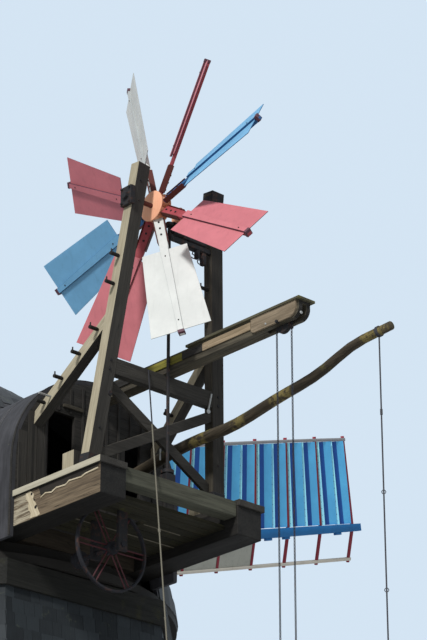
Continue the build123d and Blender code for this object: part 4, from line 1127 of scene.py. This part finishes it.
# %% Ironwork beside the hub
gear = bmesh.new()
drum = [(-0.03, -0.07), (0.032, -0.07), (0.032, 0.07), (-0.03, 0.07)]
hoop(gear, (0.03, AXLE_Y, 13.86), (1, 0, 0), 0.045, drum, 20)
for x0, x1, z0, z1, y in (
    (0.1, 0.44, 13.78, 13.9, -3.99), (0.2, 0.45, 13.7, 13.79, -3.97), (0.3, 0.34, 13.6, 13.7, -4.0),
    (0.4, 0.45, 13.56, 13.7, -3.98),
):
    tube_of(gear, [
        [(x0, y - 0.03, z), (x1, y - 0.03, z), (x1, y + 0.03, z), (x0, y + 0.03, z)]
        for z in (z0, z1)
    ])
outward(gear)
round_edges(gear, 0.006, 1)
piece("head_gear", gear, DARK_IRON, "cap", "iron")
hooks = []
for x, z, turn in ((0.27, 13.62, 1), (0.36, 13.58, -1)):
    last = Vector((x, -3.99, z + 0.06))
    for step in range(7):
        a = math.radians(-30 + 45 * step)
        spot = Vector((x + turn * 0.026 * math.sin(a), -3.99, z + 0.026 * math.cos(a)))
        hooks.append(rod_place(last, spot, 0.006))
        last = spot
strew("head_hooks", template_stud(6, 1), hooks, DARK_IRON, "cap", "iron")
print("iron beside the hub: hooks of", len(hooks), "pieces")

# %% [markdown]
# ## Shafts, wheel and chain
# The endless chain is made link by link: a ring stretched to a link's shape, each turned a
# quarter from the last, laid along the chain's path.

# %% Shafts and wheel
worn("drive_shaft", DARK_IRON, 0.002)
worn("drive_bearing", DARK_IRON, 0.004)
WHEEL = Vector((-0.37, -3.45, 10.24))
WHEEL_RADIUS = 0.455
SPOKES = 6
TO_FRONT = Vector((0, 1, 0))
wheel = bmesh.new()
rim = [(-0.013, -0.021), (0.013, -0.021), (0.013, 0.021), (-0.013, 0.021)]
hoop(wheel, WHEEL, TO_FRONT, WHEEL_RADIUS, rim, 56)
round_edges(wheel, 0.005, 2)
for k in range(SPOKES):
    a = 2 * math.pi * k / SPOKES
    out = Vector((math.cos(a), 0, math.sin(a)))
    side = out.cross(TO_FRONT)
    for shift in (-0.027, 0.027):
        start, end = WHEEL + out * 0.05 + side * shift, WHEEL + out * 0.44 + side * shift
        spoke = round_section(0.008, 6)
        rings = [[p + side * u + TO_FRONT * v for u, v in spoke] for p in (start, end)]
        tube_of(wheel, rings, 1)
for radius, y0, y1 in ((0.07, -3.495, -3.405), (0.025, -3.65, -2.9), (0.092, -2.98, -2.9)):
    section = round_section(radius, 24)
    tube_of(wheel, [[(WHEEL.x + u, y, WHEEL.z + v) for u, v in section] for y in (y0, y1)])
outward(wheel)
piece(
    "spoked_wheel", wheel, [WHEEL_IRON, WHEEL_RED], BODY_OF["hand_wheel"], SLOT_OF["hand_wheel"],
    ("hand_wheel",), 40,
)
worn("chain_wheel", DARK_IRON, 0.003)

# %% Chain
LINK_PITCH = 0.034
LINK_WIRE = 0.0042
LINK_HALF_WIDTH = 0.0125
CHAIN_X = 0.05
CHAIN_Y = -5.63
CHAIN_TOP = 12.192
CHAIN_FOOT = 1.4
CHAIN_BEND = 0.108


def chain_link():
    """A link: a small ring, drawn out along x."""
    bm = bmesh.new()
    ring = bmesh.ops.create_circle(bm, segments=6, radius=LINK_WIRE)
    moved = Matrix.Translation((0, LINK_HALF_WIDTH - LINK_WIRE, 0))
    upright = moved @ Matrix.Rotation(math.pi / 2, 4, "Y")
    bmesh.ops.transform(bm, matrix=upright, verts=ring["verts"])
    bmesh.ops.spin(
        bm, geom=bm.edges[:], cent=(0, 0, 0), axis=(0, 0, 1), angle=2 * math.pi,
        steps=10, use_merge=True, use_duplicate=False,
    )
    draw = LINK_PITCH / 2 + LINK_WIRE - LINK_HALF_WIDTH
    for v in bm.verts:
        v.co.x += math.copysign(draw, v.co.x) if abs(v.co.x) > 1e-5 else 0
    bmesh.ops.recalc_face_normals(bm, faces=bm.faces)
    bm.verts.index_update()
    return bm


def chain_path(s):
    """A point and direction of the loop at a length s along it."""
    run = CHAIN_TOP - CHAIN_FOOT
    arc = math.pi * CHAIN_BEND
    top, foot = Vector((CHAIN_X, CHAIN_Y, CHAIN_TOP)), Vector((CHAIN_X, CHAIN_Y, CHAIN_FOOT))
    aside = Vector((0, CHAIN_BEND, 0))
    if s < run:
        return foot - aside + Vector((0, 0, s)), Vector((0, 0, 1))
    s -= run
    if s < arc:
        a = s / CHAIN_BEND
        away = Vector((0, -math.cos(a), math.sin(a)))
        return top + away * CHAIN_BEND, Vector((0, math.sin(a), math.cos(a)))
    s -= arc
    if s < run:
        return top + aside - Vector((0, 0, s)), Vector((0, 0, -1))
    a = (s - run) / CHAIN_BEND
    away = Vector((0, math.cos(a), -math.sin(a)))
    return foot + away * CHAIN_BEND, Vector((0, -math.sin(a), -math.cos(a)))


chain_length = 2 * (CHAIN_TOP - CHAIN_FOOT) + 2 * math.pi * CHAIN_BEND
link_count = 2 * round(chain_length / LINK_PITCH / 2)
link_places = []
for k in range(link_count):
    spot, direction = chain_path(k * chain_length / link_count)
    side = Vector((1, 0, 0))
    other = direction.cross(side)
    if k % 2:
        side, other = other, -side
    turned = Matrix((direction, side, other)).transposed().to_4x4()
    link_places.append(Matrix.Translation(spot) @ turned)
strew(
    "chain_links", chain_link(), link_places, CHAIN_STEEL, "cap", "chain", 2,
    ("striking_chain",), 60,
)
print("links:", link_count)

# %% [markdown]
# ## Lever
# The brake lever is a grown pole, so its copy is merged and shaded smooth, and no edge of it is
# bevelled. Its bends come from the solid.

# %% Lever
pole = copy_of("brake_lever", flat=False)
lay_grain(pole, 4)
piece("lever_pole", pole, LEVER_POLE, "lever", SLOT_OF["brake_lever"], ("brake_lever",), 50)
rod = [rod_place((0.425, -3.3, 11.47), (0.425, -3.3, 11.6), 0.009)]
strew("lever_rod", template_stud(8, 1), rod, PALE_IRON, "lever", "iron")

# %% Fittings of the ropes
ROPE_X, ROPE_Y = 0.5, -6.53
POLE_END_Z = 11.951
lashing = bmesh.new()
along_pole = Vector((0, -0.97, 0.06)).normalized()
for shift in (-0.014, 0.0, 0.014):
    centre = Vector((ROPE_X, ROPE_Y, POLE_END_Z)) + along_pole * shift
    hoop(lashing, centre, along_pole, 0.052, round_section(0.006, 6), 24)
for z in (10.238, 9.237):
    hoop(lashing, (ROPE_X, ROPE_Y, z), (0.7, 0.7, 0), 0.02, round_section(0.0042, 6), 16)
wrap = round_section(0.013, 8)
tube_of(lashing, [[(ROPE_X + u, ROPE_Y + v, z) for u, v in wrap] for z in (11.05, 11.11)])
piece("rope_lashing", outward(lashing), TARRED_ROPE, "lever", "rope", smooth=60)
knots = [rod_place((-0.462, -4.309, 10.205), (-0.466, -4.317, 10.17), 0.015)]
knots.append(rod_place((-0.571, -4.536, 9.2), (-0.573, -4.54, 9.175), 0.012))
strew("rope_knots", template_stud(10, 0.8), knots, ROPE, "cap", "rope", smooth=60)
print("rope fittings made")

# %% [markdown]
# ## Sails
# The bars of a sail are red. Its long laths are grey on the trailing side and white on the
# leading side, so the faces are sorted by how far across the sail they lie. The shutters stay
# slightly open, as they do when the mill rests.

# %% Sails
SHAFT_TILT = math.radians(9)
SAIL_START = 16
TRAIL = 1.368
LEAD = 0.492
LEAD_ANGLE = math.radians(19)
LATH_HALF = 0.0235
SAIL_LENGTH = 10.51
SAIL_HEEL = 2.1
BAYS = 12
BAY = (SAIL_LENGTH - 0.15 - SAIL_HEEL) / BAYS
BAR = 0.046
SHUTTER_OPEN = math.radians(5)
SHUTTER_PLAY = 0.006
BATTEN = 0.044
SHUTTER = (BAY - BAR - 3 * SHUTTER_PLAY) / 2
SHAFT_Y, SHAFT_Z = 3.43, 11.835
shaft_frame = Matrix((
    (1, 0, 0, 0),
    (0, -math.sin(SHAFT_TILT), -math.cos(SHAFT_TILT), SHAFT_Y),
    (0, math.cos(SHAFT_TILT), -math.sin(SHAFT_TILT), SHAFT_Z),
    (0, 0, 0, 1),
))


def sail_frame(k):
    """Frame of sail k: x out along it, y to its trailing side, z along the shaft to the rear."""
    z = -0.125 if k % 2 == 0 else 0.125
    turn = Matrix.Rotation(math.radians(SAIL_START + 90 * k), 4, "Z")
    return shaft_frame @ turn @ Matrix.Translation((0, 0, z))


def weather(x):
    """Twist of a sail's trailing side at a distance from the shaft."""
    share = (x - SAIL_HEEL) / (BAY * BAYS)
    return math.radians(20 * (1 - share * share))


def shutter_frame(k, x):
    """Frame of one shutter: x across it, y along it, z to the rear."""
    twist = Matrix.Rotation(weather(x), 4, "X") @ Matrix.Rotation(-SHUTTER_OPEN, 4, "Y")
    return sail_frame(k) @ Matrix.Translation((x, 0, 0)) @ twist


for k in range(4):
    node = "sail_frame_" + str(k + 1)
    bars = copy_of(node)
    back = sail_frame(k).inverted()
    for face in bars.faces:
        local = back @ face.calc_center_median()
        angle = weather(local.x) if local.y > 0 else LEAD_ANGLE
        across = local.y * math.cos(angle) + local.z * math.sin(angle)
        on_lath = min(abs(across - TRAIL), abs(across + LEAD)) < LATH_HALF
        face.material_index = (1 if local.y > 0 else 2) if on_lath else 0
    round_edges(bars, 0.003, 1)
    lay_grain(bars, 20 + k)
    paints = [SAIL_RED, LATH_GREY, SAIL_WHITE]
    piece(node + "_painted", bars, paints, "sails", SLOT_OF[node], (node,), 40)


def shutter_side(centre, normal):
    """1 on the sloped batten of a shutter, which gets a painted highlight, 0 on its board."""
    local = shaft_frame.inverted() @ centre
    k = math.floor((math.degrees(math.atan2(local.y, local.x)) - SAIL_START) / 90) % 4
    x = (sail_frame(k).inverted() @ centre).x
    facing = shutter_frame(k, x).to_3x3().transposed() @ normal
    return 1 if facing.x < -0.5 and facing.z > 0.5 else 0


worn("shutters", [SAIL_BLUE, SHUTTER_HIGHLIGHT_BLUE], 0.0015, 6, steps=1, sort=shutter_side)
worn("lead_boards", LEAD_GREY, 0.003, 7, steps=1)
worn("stock_a", STOCK_BLUE, 0.006)
worn("stock_b", STOCK_BLUE, 0.006)
worn("windshaft", DARK_IRON, 0.01)

# %% [markdown]
# Each shutter has a dark band beside its batten, painted shadow where the batten's shadow
# falls, and a row of nails in the batten.

# %% Bands and nails of the shutters
def stock_half(x):
    """Half a stock's width at a distance from the shaft. A stock tapers to its ends."""
    return 0.13 - 0.074 * (x - 0.33) / 10.18


shadow_bands, nails, brackets = [], [], []
for k in range(4):
    for bay in range(BAYS):
        for part in (0, 1):
            first = SAIL_HEEL + BAY * bay + BAR / 2 + SHUTTER_PLAY + SHUTTER / 2
            x = first + part * (SHUTTER + SHUTTER_PLAY)
            place = shutter_frame(k, x)
            near = stock_half(x) + 0.012
            far = TRAIL - 0.03
            edge = -SHUTTER / 2 + BATTEN
            shadow_bands.append(place @ board(edge, edge + 0.12, near, far, 0.006, 0.0085, "y"))
            y = near + 0.05
            while y < far - 0.04:
                spot = place @ Vector((-SHUTTER / 2 + BATTEN / 2, y, 0.006 + BATTEN / 2))
                out = place.to_3x3() @ Vector((-1, 0, 1))
                nails.append(standing(spot, out, 0.006, 0.003))
                y += 0.1
    for x in (4.3, 6.4, 8.56, 8.93, 10.03):
        side = -stock_half(x)
        brackets.append(sail_frame(k) @ board(x - 0.06, x + 0.06, side - 0.035, side, -0.03, 0.03))
strew("shutter_shadow_bands", template_box(), shadow_bands, SHUTTER_SHADOW_BLUE, "sails", "blue_wood", 4)
strew("shutter_nails", template_stud(5), nails, STOCK_BLUE, "sails", "blue_wood")
strew("stock_brackets", template_box(0.06), brackets, STOCK_BLUE, "sails", "blue_wood")
print("bands:", len(shadow_bands), "nails:", len(nails))

# %% [markdown]
# ## Cap
# The dome is shingled, the barrel roofs are covered with felt, and the gables are boarded.

# %% Cap solids
keep("cap_ring", TARRED)
keep("cap_cross_beams", INNER_WOOD)
keep("shaft_bearings", INNER_WOOD)
keep("dome_roof", ROOF_FELT)
keep("barrel_roof_rear", ROOF_FELT)
keep("barrel_roof_front", ROOF_FELT)
keep("curb", CURB_WOOD)
worn("gable_rear", TARRED, 0.003)
worn("gable_front", TARRED, 0.003)

# %% [markdown]
# The gables are boarded upright, with a cover strip on every joint. The strips leave out the
# hatch, the lever's opening, the striking beam and the sail shaft. Left of the hatch the boards
# are newer and lighter. The felt is laid in widths that lap over each other, so a seam runs
# round each barrel roof, and a thin lath holds the felt down at the roof's open end.

# %% Boards of the gables
ARCH = 1.16
ARCH_Z = 11.25
# Openings as x0, x1, z0, z1. The last of them leaves newer boards only left of the hatch.
GABLE_HOLES = [(-0.71, -0.31, 11.11, 11.95), (0.37, 0.63, 11.13, 11.9), (-0.1, 0.2, 12.1, 12.45)]
SHAFT_HOLE = [(-0.34, 0.34, 11.2, 12.2)]
OLD_BOARDS = [(-0.7, 2, 0, 20)]
COVER_STRIP = 0.028
BOARD_WIDTH = 0.17


def arch_height(x, radius):
    """How high the arch stands at a distance from its middle."""
    return ARCH_Z + math.sqrt(max(radius * radius - x * x, 0))


def gable_strips(y0, y1, foot, half, holes, width, step, first=0.0):
    """Upright strips on a gable, in pieces where there are openings."""
    places = []
    x = -half + first
    while x < half:
        top = arch_height(x, ARCH - 0.07) - 0.02
        runs = [(foot, top)]
        for x0, x1, z0, z1 in holes:
            if x0 - width / 2 < x < x1 + width / 2:
                below = [(low, min(high, z0)) for low, high in runs]
                runs = below + [(max(low, z1), high) for low, high in runs]
        for low, high in runs:
            if high - low > 0.05:
                places.append(board(x - width / 2, x + width / 2, y0, y1, low, high, "z"))
        x += step
    return places


gable_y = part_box("gable_rear")[0][1]
front_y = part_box("gable_front")[1][1]
rear, front = (gable_y - 0.012, gable_y + 0.001), (front_y - 0.001, front_y + 0.012)
strips = gable_strips(*rear, 10.83, 1.07, GABLE_HOLES, COVER_STRIP, BOARD_WIDTH)
strips += gable_strips(*front, 10.45, 1.07, SHAFT_HOLE, COVER_STRIP, BOARD_WIDTH)
strew("gable_strips", template_box(), strips, TARRED, "cap", "boards", 7)
outside = (gable_y - 0.008, gable_y + 0.001)
newer = gable_strips(*outside, 10.84, 1.05, OLD_BOARDS, 0.118, 0.125, 0.02)
strew("newer_boards", template_box(0.02), newer, SHADE_WOOD, "cap", "boards", 8)
rail = [board(-0.5, -0.23, gable_y - 0.03, gable_y, 12.0, 12.04)]
strew("gable_rail", template_box(0.1), rail, DIM_WOOD, "cap", "dark_wood")
print("gable strips:", len(strips))


# %% Seams and edges of the felt
def arch_band(bm, ends, radius, thick, foot, material=0):
    """A band over a barrel roof, from one foot to the other."""
    turns = np.linspace(math.pi, 0, 41)
    arc = [(radius * math.cos(a), ARCH_Z + radius * math.sin(a)) for a in turns]
    outline = [(-radius, foot)] + arc + [(radius, foot)]
    y0, y1 = sorted(ends)
    rings = []
    for x, z in outline:
        out = Vector((x, 0, max(z - ARCH_Z, 0))).normalized() * thick
        rings.append([(x, y0, z), (x, y1, z), (x + out.x, y1, z + out.z), (x + out.x, y0, z + out.z)])
    tube_of(bm, rings, material)


felt_bands = bmesh.new()
FELT_RADIUS = ARCH - 0.001
for side, edge in ((-1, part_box("barrel_roof_rear")[0][1]), (1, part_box("barrel_roof_front")[1][1])):
    for y in (edge - side * 0.4, edge - side * 0.41):
        arch_band(felt_bands, (y - 0.02, y + 0.02), FELT_RADIUS, 0.005, 10.4)
    arch_band(felt_bands, (edge, edge - side * 0.03), FELT_RADIUS, 0.007, 10.39, 1)
outward(felt_bands)
lay_grain(felt_bands, 5)
piece("felt_bands", felt_bands, [SEAM_FELT, TARRED], "cap", "felt")

# %% [markdown]
# The dome is hung with shingles in rings. A ring's radius follows from the three points that
# its profile arc runs through, and shingles under the barrel roofs are left out.

# %% Dome shingles
PROFILE = [(2.7, 10.3), (1.83, 12.12), (0.09, 13.35)]
DOME_EXPOSURE = 0.16
DOME_SHINGLE_WIDTH = 0.17
DOME_SHINGLE_SIZE = (0.21, 0.012)
ROOF_CLEAR = 0.06


def circle_through(points):
    """Centre and radius of the circle through three points of a profile."""
    (ax, az), (bx, bz), (cx, cz) = points
    d = 2 * (ax * (bz - cz) + bx * (cz - az) + cx * (az - bz))
    a2, b2, c2 = ax * ax + az * az, bx * bx + bz * bz, cx * cx + cz * cz
    x = (a2 * (bz - cz) + b2 * (cz - az) + c2 * (az - bz)) / d
    z = (a2 * (cx - bx) + b2 * (ax - cx) + c2 * (bx - ax)) / d
    return x, z, math.hypot(ax - x, az - z)


bulge_x, bulge_z, bulge_r = circle_through(PROFILE)
start = math.atan2(PROFILE[0][1] - bulge_z, PROFILE[0][0] - bulge_x)
end = math.atan2(PROFILE[2][1] - bulge_z, PROFILE[2][0] - bulge_x)
rng = random.Random(31)
dome_places = []
long, thick = DOME_SHINGLE_SIZE
rows = int((end - start) * bulge_r / DOME_EXPOSURE)
for row in range(rows - 1):
    a = start + (end - start) * (row + 0.55) / rows
    radius, z = bulge_x + bulge_r * math.cos(a), bulge_z + bulge_r * math.sin(a)
    up = Vector((-math.sin(a), 0, math.cos(a)))
    out = Vector((math.cos(a), 0, math.sin(a)))
    on_roof = Matrix((up, out.cross(up), out)).transposed().to_4x4()
    seat = Matrix.Translation((radius, 0, z)) @ on_roof @ Matrix.Translation((0, 0, 0.008))
    count = max(6, round(2 * math.pi * radius / DOME_SHINGLE_WIDTH))
    size = Matrix.Diagonal((long, 2 * math.pi * radius / count - 0.005, thick, 1))
    for k in range(count):
        turn = Matrix.Rotation(2 * math.pi * (k + 0.5 * (row % 2)) / count, 4, "Z")
        spot = turn @ Vector((radius, 0, z))
        over_roof = abs(spot.x) < ARCH + ROOF_CLEAR and abs(spot.y) > 0.25
        if over_roof and z < arch_height(spot.x, ARCH + ROOF_CLEAR) + 0.05:
            continue
        tilt = Matrix.Rotation(-0.06 + rng.uniform(-0.008, 0.008), 4, "Y")
        dome_places.append(turn @ seat @ tilt @ size)
strew("dome_shingles", template_box(), dome_places, DOME_SHINGLE, "cap", "shingle", 13)
print("dome shingles:", len(dome_places))

# %% Tower solids
for node in ("base_wall_left", "base_wall_right", "base_wall_over_door"):
    keep(node, MORTAR)
for node in ("smock_wall_left", "smock_wall_right"):
    keep(node, INNER_WOOD)
keep("floor_ground", FLAGS)
keep("upper_floors", FLOOR_BOARD)
keep("window_panes", GLASS)
worn("window_frames", FRAME_WHITE, 0.003)
worn("door_frame", FRAME_WHITE, 0.005)
worn("door_leaf", DOOR_GREEN, 0.004)

# %% [markdown]
# ## Shingles on the tower
# Each of the eight sides is hung with courses of split shingles. A course leaves out the
# windows, its shingles differ in width, and every butt stands off the course below it.

# %% Shingles
BASE_TOP = 2.6
SMOCK_TOP = 10.0
FOOT_HALF = 3.8
HEAD_HALF = 2.56
BATTER = (FOOT_HALF - HEAD_HALF) / (SMOCK_TOP - BASE_TOP)
LAST_COURSE = 9.93
EXPOSURE = 0.165
BUTT = 0.016
WINDOWS = [(side, 4.3, 0.64, 0.76) for side in (-90, 90, 0, 180)]
WINDOWS += [(side, 7.2, 0.56, 0.64) for side in (-90, 0, 180)]


def wall_frame(angle):
    """On a side of the tower: x up the slope, y along it, z outwards; from its foot."""
    a = math.radians(angle)
    tilt = math.atan(BATTER)
    up = Vector((-math.cos(a) * math.sin(tilt), -math.sin(a) * math.sin(tilt), math.cos(tilt)))
    out = Vector((math.cos(a) * math.cos(tilt), math.sin(a) * math.cos(tilt), math.sin(tilt)))
    along = out.cross(up)
    foot = Vector((FOOT_HALF * math.cos(a), FOOT_HALF * math.sin(a), BASE_TOP))
    turned = Matrix((up, along, out)).transposed().to_4x4()
    return Matrix.Translation(foot) @ turned


def free_runs(low, high, half, holes):
    """The stretches of a course from -half to half that no hole takes up."""
    runs = [(-half, half)]
    for y0, y1, v0, v1 in holes:
        if low < v1 and high > v0:
            cut = []
            for a, b in runs:
                if y0 > a:
                    cut.append((a, min(b, y0)))
                if y1 < b:
                    cut.append((max(a, y1), b))
            runs = [(a, b) for a, b in cut if b - a > 0.02]
    return runs


def shingle_places(seed):
    """Places of all shingles, side by side and course by course, from the foot up."""
    rng = random.Random(seed)
    found = []
    slope = math.hypot(1, BATTER)
    for side in range(8):
        angle = -90 + 45 * side
        wall = wall_frame(angle)
        holes = []
        for where, sill, width, height in WINDOWS:
            if (where - angle) % 360 == 0:
                v = (sill - BASE_TOP) * slope
                holes.append((-width / 2, width / 2, v, v + height))
        v = -0.05
        while v < (LAST_COURSE - BASE_TOP) * slope:
            half = (FOOT_HALF - BATTER * max(v, 0) / slope) * math.tan(math.pi / 8) + 0.004
            for a, b in free_runs(v, v + EXPOSURE, half, holes):
                y = a
                while y < b - 0.001:
                    width = rng.uniform(0.11, 0.21)
                    end = b if b - y - width < 0.07 else y + width
                    drop = rng.uniform(-0.006, 0.006)
                    long = EXPOSURE + 0.06
                    tilt = Matrix.Rotation(-0.055 + rng.uniform(-0.006, 0.006), 4, "Y")
                    spot = Matrix.Translation((v + long / 2 + drop, (y + end) / 2, BUTT * 0.75))
                    size = Matrix.Diagonal((long, end - y - 0.004, BUTT, 1))
                    found.append(wall @ spot @ tilt @ size)
                    y = end
            v += EXPOSURE
    return found


shingles = shingle_places(11)
strew("tower_shingles", template_box(), shingles, TOWER_SHINGLE, "tower", "shingle", 12)
print("shingles:", len(shingles))

# %% [markdown]
# ## Bricks of the base
# The base is laid in stretcher bond: every course is shifted by half a brick, with a narrow
# joint. Over the door stands a row of bricks on end, which is how a flat lintel is built.

# %% Bricks
BRICK_LONG = 0.22
BRICK_HIGH = 0.068
BRICK_JOINT = 0.01
BASE_HALF = 3.9
OPENINGS = {
    270: [(-0.6, 0.6, 0.0, 2.23), (-0.74, 0.74, 2.23, 2.45)],
    0: [(-0.4, 0.4, 1.0, 1.9)], 180: [(-0.4, 0.4, 1.0, 1.9)],
}
brick_places = []
for side in range(8):
    angle = 45 * side
    turn = Matrix.Rotation(math.radians(angle), 4, "Z") @ Matrix.Translation((BASE_HALF, 0, 0))
    half = BASE_HALF * math.tan(math.pi / 8) - 0.002
    z, course = 0.012, 0
    while z + BRICK_HIGH < BASE_TOP:
        for a, b in free_runs(z, z + BRICK_HIGH, half, OPENINGS.get(angle, [])):
            y = a
            reach = BRICK_LONG * (0.5 if course % 2 else 1)
            while y < b - 0.03:
                end = min(y + reach, b)
                brick_places.append(turn @ board(
                    -0.03, 0.004, y, end - BRICK_JOINT, z, z + BRICK_HIGH - BRICK_JOINT, "y"
                ))
                y, reach = end, BRICK_LONG
        z += BRICK_HIGH
        course += 1
lintel = Matrix.Rotation(math.radians(270), 4, "Z") @ Matrix.Translation((BASE_HALF, 0, 0))
LINTEL_PITCH = 0.074
for k in range(20):
    y = -0.74 + LINTEL_PITCH * k
    end = y + LINTEL_PITCH - BRICK_JOINT
    brick_places.append(lintel @ board(-0.03, 0.006, y, end, 2.24, 2.44, "z"))
strew("base_bricks", template_box(0.03), brick_places, BRICK, "tower", "brick", 15)
print("bricks:", len(brick_places))

# %% Boards of the door
door_y = -BASE_HALF + 0.12
planks = [
    board(x + 0.003, x + 0.122, door_y - 0.006, door_y + 0.001, 0.1, 2.12, "z")
    for x in np.arange(-0.5, 0.49, 0.125)
]
door_body = BODY_OF["door_leaf"]
strew("door_planks", template_box(0.02), planks, DOOR_GREEN, door_body, "door_paint", 16)
print("door boarded")

# %% [markdown]
# ## Floor
# A pale floor catches the object's shadow in the other views.

# %% Floor
ground = bmesh.new()
bmesh.ops.create_grid(ground, x_segments=1, y_segments=1, size=90)
floor_mesh = bpy.data.meshes.new("studio_floor")
ground.to_mesh(floor_mesh)
ground.free()
floor_finish = Finish("studio_floor")
pale = floor_finish.noise(floor_finish.places(), 0.2, 2)
floor_mesh.materials.append(
    floor_finish.done(floor_finish.mix(pale, (0.6, 0.62, 0.64), (0.62, 0.64, 0.66)), 0.9)
)
studio_floor = link("studio_floor", floor_mesh)
studio_floor.location.z = -0.002
